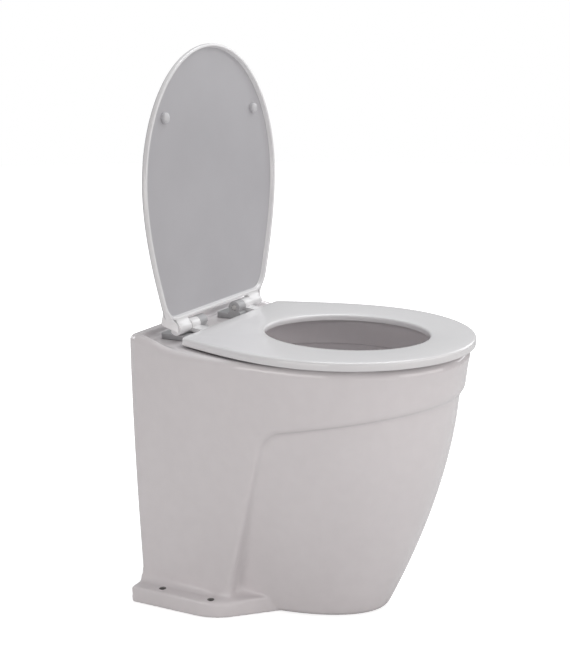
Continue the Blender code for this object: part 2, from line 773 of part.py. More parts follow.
def basin_cutter():
    """The hollow of the bowl: rounded rim edge, lip, undercut, basin, sump and outlet."""
    rings = []
    width = RIM_OPENING_HALF_WIDTH
    length = RIM_OPENING_HALF_LENGTH
    edge = RIM_INNER_ROUND
    rings.append(oval_ring(width + edge, length + edge, RIM_OPENING_CENTRE, RIM_HEIGHT + CUT_OVERRUN))
    for step in range(ROUND_STEPS + 1):
        angle = math.pi / 2 * step / ROUND_STEPS
        grow = edge * (1 - math.sin(angle))
        rings.append(oval_ring(width + grow, length + grow, RIM_OPENING_CENTRE,
                               RIM_HEIGHT - edge * (1 - math.cos(angle))))
    lip = RIM_HEIGHT - RIM_LIP_DEPTH
    rings.append(oval_ring(width, length, RIM_OPENING_CENTRE, lip + RUN_GAP))
    for half_width, half_length, centre, z in basin_sections(0):
        rings.append(oval_ring(half_width, half_length, centre, z))
    outlet = OUTLET_RADIUS
    rings.append(oval_ring(outlet, outlet, OUTLET_FROM_REAR, SUMP_HEIGHT))
    rings.append(oval_ring(outlet, outlet, OUTLET_FROM_REAR, SUMP_UNDERSIDE - CUT_OVERRUN))
    return loft("basin_cutter", rings)


def basin_body():
    """The outside of the basin, which the service cavity leaves standing."""
    steps = UNDERSIDE_STEPS
    sections = basin_sections(BASIN_WALL)
    half_width, half_length, centre, z = sections[0]
    rings = [oval_ring(half_width, half_length, centre, RIM_HEIGHT - WALL / 2, steps)]
    for half_width, half_length, centre, z in sections:
        rings.append(oval_ring(half_width, half_length, centre, z, steps))
    boss = SUMP_FLANGE_RADIUS
    rings.append(oval_ring(boss, boss, OUTLET_FROM_REAR, SUMP_HEIGHT - BASIN_WALL / 2, steps))
    rings.append(oval_ring(boss, boss, OUTLET_FROM_REAR, SUMP_UNDERSIDE, steps))
    return loft("basin_body", rings)


def service_cavity():
    """The open space inside the rear box and under the basin."""
    top = RIM_HEIGHT - DECK_THICKNESS
    upper = SLANT_TOP_HEIGHT
    ledge = FLANGE_HEIGHT
    levels = [(-CUT_OVERRUN, LEDGE_WIDTH), (ledge, LEDGE_WIDTH), (ledge + TOUCH_GAP, 0),
              (upper * 0.35, 0), (upper * 0.7, 0), (upper, 0), ((upper + top) / 2, 0), (top, 0)]
    rings = []
    for z, extra in levels:
        front = slant_reach(min(max(z, 0), upper)) - WALL
        wall = max(z, ledge)
        ring = []
        for x, d in cavity_outline(wall, WALL + extra, front):
            ring.append(at(x, d, z))
        rings.append(ring)
    cavity = loft("service_cavity", rings)
    under = lower_bowl("under_basin", BOWL_WALL, 0.9)
    join(cavity, under)
    cut(cavity, basin_body())
    return cavity


def cavity_outline(z, inset, front):
    """The plan of the cavity in the rear box, run out past the rear plane."""
    rear = rear_half_width(z) - inset
    side = side_half_width(z) - inset
    half = [(0, -CUT_OVERRUN), (rear, -CUT_OVERRUN), (rear, 0)]
    steps = 5
    for i in range(1, steps + 1):
        share = i / steps * front / WIDEST_FROM_REAR
        reach = front * i / steps
        half.append((side - (side - rear) * (1 - min(1, share)) ** 2, reach))
    half.append((0, front))
    return mirrored(half)


def upright_hole(radius, x, from_rear, low, high, sides=SMALL_SIDES):
    """A level-ended round cutter from one height to another."""
    return rod("hole", radius, at(x, from_rear, low), at(x, from_rear, high), sides=sides)


def fixing_holes():
    """Floor bolts, hinge studs, cradle screws and sump bolts, as one cutter."""
    holes = []
    deck = RIM_HEIGHT - DECK_THICKNESS
    screw = SMALL_SCREW_RADIUS + TOUCH_GAP
    bolt = SUMP_BOLT_RADIUS + TOUCH_GAP
    for side in (-1, 1):
        for reach in FLOOR_BOLTS_FROM_REAR:
            holes.append(upright_hole(FLOOR_BOLT_RADIUS, side * FLOOR_BOLT_X, reach, -CUT_OVERRUN,
                                      FLANGE_FILLET_TOP))
        holes.append(upright_hole(HINGE_HOLE_RADIUS, side * HINGE_STUD_X, HINGE_STUD_FROM_REAR,
                                  deck - CUT_OVERRUN / 2, RIM_HEIGHT + CUT_OVERRUN))
        holes.append(upright_hole(screw, side * CRADLE_SCREW_X, cradle_middle(),
                                  FLANGE_HEIGHT - SMALL_SCREW_DEPTH - TOUCH_GAP,
                                  FLANGE_HEIGHT + CUT_OVERRUN / 2,
                                  TINY_SIDES))
    for x, reach in sump_bolt_places():
        holes.append(upright_hole(bolt, x, reach, SUMP_UNDERSIDE - CUT_OVERRUN / 2,
                                  SUMP_UNDERSIDE + SUMP_BOLT_DEPTH + TOUCH_GAP, TINY_SIDES))
    return one_cutter("fixing_holes", holes)


def nozzle_hole():
    """The stepped hole for the wash nozzle: a seat in the bowl, a bore and a seat for its nut."""
    head = NOZZLE_HEAD_RADIUS + RUN_GAP
    bore = NOZZLE_STEM_RADIUS + TOUCH_GAP
    nut = NOZZLE_NUT_RADIUS + RUN_GAP
    back = NOZZLE_NUT_SEAT_FROM_REAR - NOZZLE_SEAT_FROM_REAR
    profile = [(0, CUT_OVERRUN), (head, CUT_OVERRUN), (head, 0), (bore, 0), (bore, back), (nut, back),
               (nut, back - CUT_OVERRUN), (0, back - CUT_OVERRUN)]
    return turned("nozzle_hole", profile, at(0, NOZZLE_SEAT_FROM_REAR, NOZZLE_HEIGHT), (0, -1, 0),
                  sides=SMALL_SIDES)


def ceramic():
    """The one-piece ceramic bowl with its rear box, open behind and below."""
    body = outer_body()
    cut(body, front_cutter())
    join(body, lower_bowl("lower_bowl", 0))
    join(body, floor_flange())
    cut(body, service_cavity())
    cut(body, basin_cutter())
    cut(body, fixing_holes())
    cut(body, nozzle_hole())
    return body


def cradle_middle():
    return (CRADLE_FRONT + CRADLE_REAR) / 2


def sump_bolt_places():
    """The four bolts that hold the pump's neck to the sump."""
    places = []
    for i in range(4):
        angle = math.pi / 4 + math.pi / 2 * i
        places.append((SUMP_BOLT_CIRCLE * math.cos(angle), OUTLET_FROM_REAR + SUMP_BOLT_CIRCLE
                       * math.sin(angle)))
    return places


# Seat and lid

def hinge_frame(angle):
    """World placement of a plate that is drawn closed: X across, Y reach, Z above the hinge."""
    flip = Matrix(((1, 0, 0, 0), (0, -1, 0, 0), (0, 0, 1, 0), (0, 0, 0, 1)))
    spin = Matrix.Rotation(-angle, 4, "X")
    return Matrix.Translation(at(0, HINGE_FROM_REAR, HINGE_Z)) @ spin @ flip


def side_place(rear, width, begin, share):
    """A point on the bowed side of seat and lid, from the rear corner to the widest place."""
    run = SEAT_WIDEST_REACH - begin
    bow = SEAT_REAR_SLOPE * run * share * (1 - share) ** 2
    return rear + (width - rear) * ease(share) + bow, begin + run * share


def egg_outline(inset, start, rear_half_width, corner):
    """The outline of seat or lid, from the middle of its rear edge to its front."""
    width = SEAT_HALF_WIDTH - inset
    front = SEAT_REACH - SEAT_WIDEST_REACH - inset
    begin = start + inset
    rear = rear_half_width - inset
    first = corner / (SEAT_WIDEST_REACH - begin)
    half = [((rear - corner) * i / EGG_REAR_STEPS, begin) for i in range(EGG_REAR_STEPS + 1)]
    end = side_place(rear, width, begin, first)
    for i in range(1, CORNER_STEPS + 1):
        t = i / (CORNER_STEPS + 1)
        x = half[EGG_REAR_STEPS][0] * (1 - t) ** 2 + 2 * rear * t * (1 - t) + end[0] * t ** 2
        half.append((x, begin + (end[1] - begin) * t ** 2))
    for i in range(EGG_SIDE_STEPS):
        half.append(side_place(rear, width, begin, first + (1 - first) * i / EGG_SIDE_STEPS))
    half += [(x, SEAT_WIDEST_REACH + r) for x, r in quarter(width, front, 2, EGG_FRONT_STEPS)]
    return mirrored(half)


def seat_outline(inset):
    return egg_outline(inset, SEAT_START, SEAT_REAR_HALF_WIDTH, SEAT_CORNER)


def lid_outline(inset):
    return egg_outline(inset, LID_START, LID_REAR_HALF_WIDTH, LID_CORNER)


def matched_opening(grow, outer):
    """Opening points in the same directions as the outer outline's points."""
    ring = []
    for x, reach in outer:
        angle = math.atan2(x / SEAT_HALF_WIDTH, -(reach - SEAT_OPENING_CENTRE) / SEAT_WIDEST_REACH)
        ring.append(((SEAT_OPENING_HALF_WIDTH + grow) * math.sin(angle),
                     SEAT_OPENING_CENTRE - (SEAT_OPENING_HALF_LENGTH + grow) * math.cos(angle)))
    return ring


def ring_between(outer_inset, inner_grow, share, height):
    """A seat section ring: share 0 is the outer outline, 1 the opening."""
    outer = seat_outline(outer_inset)
    inner = matched_opening(inner_grow, seat_outline(0))
    ring = []
    for (x0, r0), (x1, r1) in zip(outer, inner):
        ring.append(Vector((x0 + (x1 - x0) * share, r0 + (r1 - r0) * share, height)))
    return ring


def hollow_ring_sections():
    """Round the seat's section: outer wall, crowned top, inner wall, hollow underside."""
    top = SEAT_TOP
    low = SEAT_TOP - SEAT_THICKNESS
    skin = SEAT_SKIN
    edge = SEAT_EDGE_ROUND
    ceiling = top - SEAT_CROWN - skin
    inner_low = low + SEAT_INNER_LIFT
    return [
        (edge * 0.4, 0, 0, low), (0, 0, 0, low + edge * 0.6), (0, 0, 0, top - edge),
        (edge * 0.3, 0, 0, top - SEAT_CROWN - edge * 0.25), (edge * 1.3, 0, 0, top - SEAT_CROWN * 0.6),
        (0, 0, 0.5, top), (0, edge * 1.5, 1, top - SEAT_CROWN), (0, edge * 0.3, 1, top - edge),
        (0, 0, 1, inner_low + edge * 0.3), (0, skin, 1, inner_low),
        (0, skin * 1.4, 1, ceiling), (skin * 1.2, 0, 0, ceiling), (skin, 0, 0, low + edge * 0.2),
    ]


def ear_plate(name, inner_x, outer_x, outline, frame, finish=None):
    """An ear from a (reach, height) outline, between two places along the hinge."""
    turn = Matrix(((0, 0, 1, (inner_x + outer_x) / 2), (1, 0, 0, 0), (0, 1, 0, 0), (0, 0, 0, 1)))
    return plate(name, [outline], outer_x - inner_x, frame @ turn, finish)


def seat_ear_outline():
    """Barrel round the hinge, drawn out into the seat's plate."""
    low = SEAT_TOP - SEAT_THICKNESS
    top = SEAT_TOP - SEAT_CROWN
    end = SEAT_START + 2 * SEAT_SKIN
    points = arc((0, 0), EAR_RADIUS, math.radians(-16), math.radians(304), ARC_STEPS)
    points += [(SEAT_START, low + SEAT_EDGE_ROUND * 1.15), (end, low + SEAT_EDGE_ROUND), (end, top)]
    points.append((SEAT_START, top))
    return points


def lid_ear_outline():
    """Barrel round the hinge, filleted into the lid's underside and sloping up behind."""
    low = LID_UNDERSIDE
    top = LID_UNDERSIDE + LID_THICKNESS * 0.8
    web = LID_START + LID_LIP_WIDTH * 0.8
    points = arc((0, 0), EAR_RADIUS, math.radians(118), math.radians(318), ARC_STEPS)
    points += [(EAR_RADIUS * 1.21, low * 0.8), (web, low + RUN_GAP), (web, top), (LID_START, top)]
    return points


def hinge_bore(name, frame):
    """The bore along the hinge: through the seat's ears, blind in the lid's."""
    reach = DAMPER_END_X + RUN_GAP
    return rod(name, DAMPER_RADIUS + TOUCH_GAP, frame @ Vector((-reach, 0, 0)),
               frame @ Vector((reach, 0, 0)),
               sides=SMALL_SIDES)


def seat():
    """The seat ring with its hollow underside and two ears."""
    frame = hinge_frame(SEAT_REST_ANGLE)
    rings = []
    for outer_inset, inner_grow, share, height in hollow_ring_sections():
        rings.append([frame @ point for point in ring_between(outer_inset, inner_grow, share, height)])
    ring = loft("seat_ring", rings, "seat_plastic", ring_closed=True)
    for side, label in labels():
        ends = sorted((side * SEAT_EAR_INNER_X, side * (EAR_SPLIT_X - TOUCH_GAP)))
        join(ring, ear_plate("seat_ear_" + label, *ends, seat_ear_outline(), frame))
    cut(ring, hinge_bore("seat_bore", frame))
    return ring


def pad(name, x, reach, turn, frame, finish=None):
    """A long rounded rubber pad under the seat, down to the rim."""
    top = SEAT_TOP - SEAT_CROWN - SEAT_SKIN - TOUCH_GAP
    low = -HINGE_ABOVE_RIM + TOUCH_GAP
    half = PAD_LENGTH / 2 - PAD_WIDTH / 2
    radius = PAD_WIDTH / 2
    outline = arc((half, 0), radius, -math.pi / 2, math.pi / 2, ARC_STEPS)
    outline += arc((-half, 0), radius, math.pi / 2, 3 * math.pi / 2, ARC_STEPS)
    place = Matrix.Translation((x, reach, (top + low) / 2)) @ Matrix.Rotation(math.pi / 2 + turn, 4, "Z")
    return plate(name, [outline], top - low, frame @ place, finish)


def seat_pads():
    """Two pads near the front of the seat and two near the hinges, along its edge."""
    frame = hinge_frame(SEAT_REST_ANGLE)
    inset = PAD_FROM_EDGE
    angle = FRONT_PAD_SHARE * math.pi / 2
    front_x = (SEAT_HALF_WIDTH - inset) * math.cos(angle)
    front_reach = SEAT_WIDEST_REACH + (SEAT_REACH - SEAT_WIDEST_REACH - inset) * math.sin(angle)
    rear_x, rear_reach = side_place(SEAT_REAR_HALF_WIDTH - inset, SEAT_HALF_WIDTH - inset,
                                    SEAT_START + inset, REAR_PAD_SHARE)
    for side, label in labels():
        pad("seat_front_buffer_" + label, side * front_x, front_reach, side * FRONT_PAD_TURN, frame,
            "white_plastic")
        pad("seat_rear_buffer_" + label, side * rear_x, rear_reach, side * REAR_PAD_TURN, frame,
            "white_plastic")


def lid():
    """The lid: a crowned shell with a lip round its underside and two ears."""
    frame = hinge_frame(LID_OPEN_ANGLE)
    low = LID_UNDERSIDE
    top = LID_UNDERSIDE + LID_THICKNESS
    lip = LID_LIP_WIDTH
    levels = [
        (lip * 1.2, low + LID_LIP_HEIGHT), (lip * 0.8, low), (lip * 0.15, low), (0, low + lip * 0.2),
        (0, low + LID_THICKNESS * 0.6),
        (lip * 0.25, low + LID_THICKNESS * 0.84), (lip, top - LID_CROWN * 0.12),
        (lip * 6, top + LID_CROWN * 0.45), (lip * 17, top + LID_CROWN),
    ]
    rings = []
    for inset, height in levels:
        outline = lid_outline(min(inset, 2 * lip))
        shrink = max(0, inset - 2 * lip) / SEAT_HALF_WIDTH
        middle = SEAT_WIDEST_REACH
        rings.append([frame @ Vector((x * (1 - shrink), middle + (r - middle) * (1 - shrink), height))
                      for x, r in outline])
    shell = loft("lid_cover", rings, "seat_plastic")
    for side, label in labels():
        ends = sorted((side * EAR_SPLIT_X, side * LID_EAR_OUTER_X))
        join(shell, ear_plate("lid_ear_" + label, *ends, lid_ear_outline(), frame))
    cut(shell, hinge_bore("lid_bore", frame))
    return shell


def lid_pads():
    """Two round buffers in the lid, which meet the seat when it is closed."""
    frame = hinge_frame(LID_OPEN_ANGLE)
    top = LID_UNDERSIDE + LID_LIP_HEIGHT - TOUCH_GAP
    low = SEAT_TOP + TOUCH_GAP
    for side, label in labels():
        start = frame @ Vector((side * LID_BUFFER_X, LID_BUFFER_REACH, low))
        end = frame @ Vector((side * LID_BUFFER_X, LID_BUFFER_REACH, top))
        rod("lid_buffer_" + label, LID_BUFFER_RADIUS * 0.85, start, end, "white_plastic", SMALL_SIDES,
            LID_BUFFER_RADIUS)


# Hinges

def hinge_post(side, label):
    """A moulded post: a low foot on the deck and an upright that holds the damper."""
    name = "hinge_post_" + label
    inner = side * POST_INNER_X
    outer = side * POST_OUTER_X
    low = RIM_HEIGHT + TOUCH_GAP
    corners = [(min(inner, outer), POST_REAR), (max(inner, outer), POST_REAR),
               (max(inner, outer), POST_FRONT), (min(inner, outer), POST_FRONT)]
    flat = [(x, REAR_Y - d) for x, d in rounded(corners, [POST_CORNER_RADIUS] * 4)]
    frame = Matrix.Translation((0, 0, low + POST_BASE_HEIGHT / 2))
    post = plate(name, [flat], POST_BASE_HEIGHT, frame, "hinge_plastic")
    upright = arc((0, 0), EAR_RADIUS, 0, math.pi, ARC_STEPS)
    foot = low + POST_BASE_HEIGHT / 2 - HINGE_Z
    upright += [(-EAR_RADIUS * 1.3, foot), (EAR_RADIUS * 1.3, foot)]
    ends = sorted((side * (POST_INNER_X + RUN_GAP), side * (SEAT_EAR_INNER_X - TOUCH_GAP)))
    join(post, ear_plate("upright_" + label, *ends, upright, hinge_frame(0)))
    bore_ends = sorted((side * (POST_INNER_X - CUT_OVERRUN), side * SEAT_EAR_INNER_X))
    cut(post, rod("post_bore_" + label, DAMPER_STEM_RADIUS + TOUCH_GAP,
                  at(bore_ends[0], HINGE_FROM_REAR, HINGE_Z),
                  at(bore_ends[1], HINGE_FROM_REAR, HINGE_Z), sides=SMALL_SIDES))
    stud_x = side * HINGE_STUD_X
    cut(post, rod("stud_socket_" + label, HINGE_STUD_RADIUS + TOUCH_GAP,
                  at(stud_x, HINGE_STUD_FROM_REAR, low - CUT_OVERRUN),
                  at(stud_x, HINGE_STUD_FROM_REAR, low + STUD_IN_POST), sides=SMALL_SIDES))
    return post


def damper(name, side):
    """A slow-close damper: a body through the ears and a stem in the post."""
    start = SEAT_EAR_INNER_X
    end = DAMPER_END_X
    stem = start - POST_INNER_X - RUN_GAP
    body = end - start
    profile = [(0, stem + body), (DAMPER_RADIUS, stem + body), (DAMPER_RADIUS, stem),
               (DAMPER_STEM_RADIUS, stem),
               (DAMPER_STEM_RADIUS, 0), (0, 0)]
    origin = at(side * (POST_INNER_X + RUN_GAP), HINGE_FROM_REAR, HINGE_Z)
    return turned(name, profile, origin, (side, 0, 0), "stainless", SMALL_SIDES)


def hinge_fixings(side, label):
    """The stud, washer and wing nut that hold one hinge post to the deck."""
    x = side * HINGE_STUD_X
    reach = HINGE_STUD_FROM_REAR
    top = RIM_HEIGHT + STUD_IN_POST
    rod("hinge_stud_" + label, HINGE_STUD_RADIUS, at(x, reach, top - HINGE_STUD_LENGTH), at(x, reach, top),
        "stainless", SMALL_SIDES)
    bore = HINGE_STUD_RADIUS + TOUCH_GAP
    thick = HINGE_WASHER_THICKNESS
    washer_low = RIM_HEIGHT - DECK_THICKNESS - TOUCH_GAP - thick
    ring = [(HINGE_WASHER_RADIUS, thick), (HINGE_WASHER_RADIUS, 0), (bore, 0), (bore, thick)]
    turned("hinge_washer_" + label, ring, at(x, reach, washer_low), (0, 0, 1), "rubber", SMALL_SIDES)
    seat_z = washer_low - TOUCH_GAP
    if side < 0:
        seat_z -= VALVE_BRACKET_THICKNESS + TOUCH_GAP
    tall = WING_NUT_HEIGHT
    span = WING_SPAN / 2
    outline = [(-span, 0), (-span * 0.7, -tall), (span * 0.7, -tall), (span, 0), (span * 0.5, -tall / 3),
               (-span * 0.5, -tall / 3)]
    frame = Matrix.Translation(at(x, reach, seat_z)) @ Matrix.Rotation(math.pi / 2, 4, "X")
    nut = rod("wing_nut_" + label, WING_NUT_RADIUS, at(x, reach, seat_z - tall), at(x, reach, seat_z),
              "white_plastic", SMALL_SIDES)
    join(nut, plate("wings_" + label, [outline], WING_THICKNESS, frame))
    cut(nut, rod("nut_bore_" + label, bore, at(x, reach, seat_z - tall - CUT_OVERRUN),
                 at(x, reach, seat_z + CUT_OVERRUN), sides=SMALL_SIDES))


# Flush water

def nozzle():
    """The wash nozzle: a domed head in the bowl, a stem through the wall and a barb."""
    head = NOZZLE_HEAD_LENGTH
    seat_at = NOZZLE_SEAT_FROM_REAR + TOUCH_GAP
    stem = seat_at - NOZZLE_STEM_END
    barb = seat_at - NOZZLE_BARB_END
    profile = [(WATERWAY_RADIUS, head), (NOZZLE_HEAD_RADIUS * 0.6, head),
               (NOZZLE_HEAD_RADIUS * 0.95, head * 0.6),
               (NOZZLE_HEAD_RADIUS, 0), (NOZZLE_STEM_RADIUS, 0), (NOZZLE_STEM_RADIUS, -stem),
               (HOSE_BARB_RADIUS, -stem), (HOSE_BARB_RADIUS, -barb), (WATERWAY_RADIUS, -barb)]
    turned("wash_nozzle", profile, at(0, seat_at, NOZZLE_HEIGHT), (0, -1, 0), "white_plastic", SMALL_SIDES)
    face = NOZZLE_NUT_SEAT_FROM_REAR - TOUCH_GAP
    nut = rod("nozzle_nut", NOZZLE_NUT_RADIUS, at(0, face - NOZZLE_NUT_THICKNESS, NOZZLE_HEIGHT),
              at(0, face, NOZZLE_HEIGHT), "brass", 6)
    cut(nut, rod("nozzle_nut_bore", NOZZLE_STEM_RADIUS + TOUCH_GAP, at(0, face - CUT_OVERRUN, NOZZLE_HEIGHT),
                 at(0, face + CUT_OVERRUN, NOZZLE_HEIGHT), sides=SMALL_SIDES))


def valve_reach():
    """Distance of the valve's axis from the rear plane, where the hose ends its turn."""
    return NOZZLE_STEM_END - TOUCH_GAP - FLUSH_HOSE_STUB - FLUSH_HOSE_TURN


def flush_hose():
    """The hose from the solenoid valve to the nozzle, on barbs with spring clips."""
    start = NOZZLE_STEM_END - TOUCH_GAP
    turn = FLUSH_HOSE_TURN
    end_x = VALVE_INNER_X - TOUCH_GAP
    straight = 2 * FLUSH_HOSE_RADIUS
    bend = arc((-turn, start - FLUSH_HOSE_STUB), turn, 0, -math.pi / 2, ARC_STEPS)
    points = [at(0, start, NOZZLE_HEIGHT)] + [at(x, d, NOZZLE_HEIGHT) for x, d in bend]
    points += [at(-(turn + end_x) / 2, valve_reach(), NOZZLE_HEIGHT),
               at(-end_x, valve_reach(), NOZZLE_HEIGHT)]
    pipe("flush_hose", points, FLUSH_HOSE_RADIUS, HOSE_BARB_RADIUS + RUN_GAP, "rubber")
    inner = FLUSH_HOSE_RADIUS + TOUCH_GAP
    outer = inner + CLIP_THICKNESS
    ring = [(outer, CLIP_WIDTH), (outer, 0), (inner, 0), (inner, CLIP_WIDTH)]
    clip_x = end_x - straight / 2
    turned("hose_clip", ring, at(-clip_x, valve_reach(), NOZZLE_HEIGHT), (1, 0, 0), "stainless", SMALL_SIDES)


def solenoid_valve():
    """The flush valve: a moulded body with inlet and outlet, and its round coil below."""
    axis = valve_reach()
    middle = (VALVE_INNER_X + VALVE_OUTER_X) / 2
    half = (VALVE_OUTER_X - VALVE_INNER_X) / 2
    corner = VALVE_HALF_HEIGHT / 3
    box = rounded([(-half, -VALVE_HALF_DEPTH), (half, -VALVE_HALF_DEPTH), (half, VALVE_HALF_DEPTH),
                   (-half, VALVE_HALF_DEPTH)], [corner] * 4)
    frame = Matrix.Translation(at(-middle, axis, NOZZLE_HEIGHT))
    body = plate("solenoid_valve_body", [box], 2 * VALVE_HALF_HEIGHT, frame, "white_plastic")
    join(body, rod("valve_outlet", HOSE_BARB_RADIUS, at(-middle, axis, NOZZLE_HEIGHT),
                   at(-VALVE_OUTLET_X, axis, NOZZLE_HEIGHT), sides=SMALL_SIDES))
    back = axis - VALVE_HALF_DEPTH - VALVE_INLET_LENGTH
    join(body, rod("valve_inlet", VALVE_INLET_RADIUS, at(-middle, back, NOZZLE_HEIGHT),
                   at(-middle, axis, NOZZLE_HEIGHT), sides=SMALL_SIDES))
    cut(body, rod("valve_inlet_bore", VALVE_INLET_RADIUS * 0.6, at(-middle, back - CUT_OVERRUN,
                                                                   NOZZLE_HEIGHT),
                  at(-middle, axis, NOZZLE_HEIGHT), sides=SMALL_SIDES))
    cut(body, rod("valve_outlet_bore", WATERWAY_RADIUS, at(-middle, axis, NOZZLE_HEIGHT),
                  at(-VALVE_OUTLET_X + CUT_OVERRUN, axis, NOZZLE_HEIGHT), sides=SMALL_SIDES))
    top = NOZZLE_HEIGHT - VALVE_HALF_HEIGHT - TOUCH_GAP
    profile = [(0, 0), (COIL_RADIUS * 0.9, 0), (COIL_RADIUS, -COIL_LENGTH * 0.05),
               (COIL_RADIUS, -COIL_LENGTH * 0.9),
               (COIL_RADIUS * 0.85, -COIL_LENGTH * 0.92), (COIL_RADIUS * 0.85, -COIL_LENGTH),
               (0, -COIL_LENGTH)]
    turned("solenoid_coil", profile, at(-middle, axis, top), (0, 0, 1), "black_plastic", PIPE_SIDES)


def valve_bracket():
    """A bent strip clamped by the left hinge's wing nut, which carries the valve."""
    top = RIM_HEIGHT - DECK_THICKNESS - 2 * TOUCH_GAP - HINGE_WASHER_THICKNESS
    thick = VALVE_BRACKET_THICKNESS
    face = valve_reach() + VALVE_HALF_DEPTH + TOUCH_GAP
    front = HINGE_STUD_FROM_REAR + VALVE_BRACKET_REACH
    low = NOZZLE_HEIGHT - VALVE_HALF_HEIGHT
    outline = [(face, low), (face + thick, low), (face + thick, top - thick), (front, top - thick),
               (front, top),
               (face, top)]
    middle = (VALVE_INNER_X + VALVE_OUTER_X) / 2
    half = (VALVE_OUTER_X - VALVE_INNER_X) / 2
    inner = -(HINGE_STUD_X - VALVE_BRACKET_REACH)
    outer = -(middle + half)
    frame = Matrix(((0, 0, 1, (inner + outer) / 2), (-1, 0, 0, REAR_Y), (0, 1, 0, 0), (0, 0, 0, 1)))
    strip = plate("valve_bracket", [outline], inner - outer, frame, "stainless")
    cut(strip, rod("bracket_stud_hole", HINGE_STUD_RADIUS + TOUCH_GAP,
                   at(-HINGE_STUD_X, HINGE_STUD_FROM_REAR, top - CUT_OVERRUN),
                   at(-HINGE_STUD_X, HINGE_STUD_FROM_REAR, top + CUT_OVERRUN), sides=SMALL_SIDES))


def bolt(name, head_radius, radius, seat_point, inward, depth):
    """A hexagon-head bolt whose head sits at a point and whose shank runs inward."""
    along = Vector(inward)
    head = rod(name, head_radius, seat_point - along * (head_radius * BOLT_HEAD_SHARE), seat_point,
               "stainless", 6)
    join(head, rod(name + "_shank", radius, seat_point - along * (head_radius * BOLT_HEAD_SHARE / 2),
                   seat_point + along * depth, sides=TINY_SIDES))
    return head


# Macerator pump

def neck_top():
    return SUMP_UNDERSIDE - 2 * TOUCH_GAP - GASKET_THICKNESS


def circle(radius, sides, x=0, y=0):
    """A closed round outline."""
    return [(x + radius * math.cos(2 * math.pi * i / sides), y + radius * math.sin(2 * math.pi * i / sides))
            for i in range(sides)]


def sump_ring(name, low, thick, bore, finish=None):
    """A round plate under the sump, with holes for the four sump bolts."""
    outlines = [circle(SUMP_FLANGE_RADIUS, ROUND_SIDES)]
    if bore:
        outlines.append(circle(bore, PIPE_SIDES))
    for x, reach in sump_bolt_places():
        outlines.append(circle(SUMP_BOLT_RADIUS + TOUCH_GAP, TINY_SIDES, x, OUTLET_FROM_REAR - reach))
    return plate(name, outlines, thick, Matrix.Translation(at(0, OUTLET_FROM_REAR, low + thick / 2)), finish)


def pump_housing():
    """The pump chamber with its inlet neck, discharge port and screw lugs."""
    axis = PUMP_HEIGHT
    length = CHAMBER_FRONT - CHAMBER_BACK
    profile = [(0, length), (CHAMBER_RADIUS, length), (CHAMBER_RADIUS, CASE_CHAMFER),
               (CHAMBER_RADIUS - CASE_CHAMFER, 0), (0, 0)]
    body = turned("pump_housing", profile, at(0, CHAMBER_BACK, axis), (0, -1, 0), "black_plastic")
    top = neck_top()
    join(body, rod("neck", NECK_RADIUS, at(0, OUTLET_FROM_REAR, axis), at(0, OUTLET_FROM_REAR, top)))
    join(body, sump_ring("neck_flange", top - NECK_FLANGE_THICKNESS, NECK_FLANGE_THICKNESS, 0))
    join(body, rod("port", DISCHARGE_RADIUS, at(0, DISCHARGE_FROM_REAR, axis),
                   at(PORT_END_X, DISCHARGE_FROM_REAR, axis), sides=PIPE_SIDES))
    for x, z in cover_screw_places():
        join(body, rod("lug", COVER_LUG_RADIUS, at(x, CHAMBER_FRONT - COVER_LUG_LENGTH, z),
                       at(x, CHAMBER_FRONT, z), sides=TINY_SIDES))
    cut(body, rod("chamber_bore", CHAMBER_RADIUS - CHAMBER_WALL,
                  at(0, CHAMBER_BACK + CHAMBER_BACK_WALL, axis),
                  at(0, CHAMBER_FRONT + CUT_OVERRUN, axis)))
    cut(body, rod("neck_bore", OUTLET_RADIUS, at(0, OUTLET_FROM_REAR, axis),
                  at(0, OUTLET_FROM_REAR, top + CUT_OVERRUN), sides=PIPE_SIDES))
    cut(body, rod("port_bore", DISCHARGE_BORE, at(0, DISCHARGE_FROM_REAR, axis),
                  at(PORT_END_X + CUT_OVERRUN, DISCHARGE_FROM_REAR, axis), sides=PIPE_SIDES))
    cut(body, rod("seal_bore", SEAL_RADIUS + TOUCH_GAP, at(0, CHAMBER_BACK - CUT_OVERRUN, axis),
                  at(0, CHAMBER_BACK + CHAMBER_BACK_WALL + CUT_OVERRUN, axis), sides=SMALL_SIDES))
    return body


def cover_screw_places():
    """Screws round the pump's front cover, as (x, z)."""
    places = []
    for i in range(COVER_SCREW_COUNT):
        angle = math.pi / 4 + 2 * math.pi * i / COVER_SCREW_COUNT
        places.append((COVER_SCREW_CIRCLE * math.cos(angle), PUMP_HEIGHT + COVER_SCREW_CIRCLE
                       * math.sin(angle)))
    return places


def outlet_axis_x():
    """Side offset of the discharge line, after its elbow."""
    return PORT_END_X + TOUCH_GAP + ELBOW_STUB + ELBOW_TURN


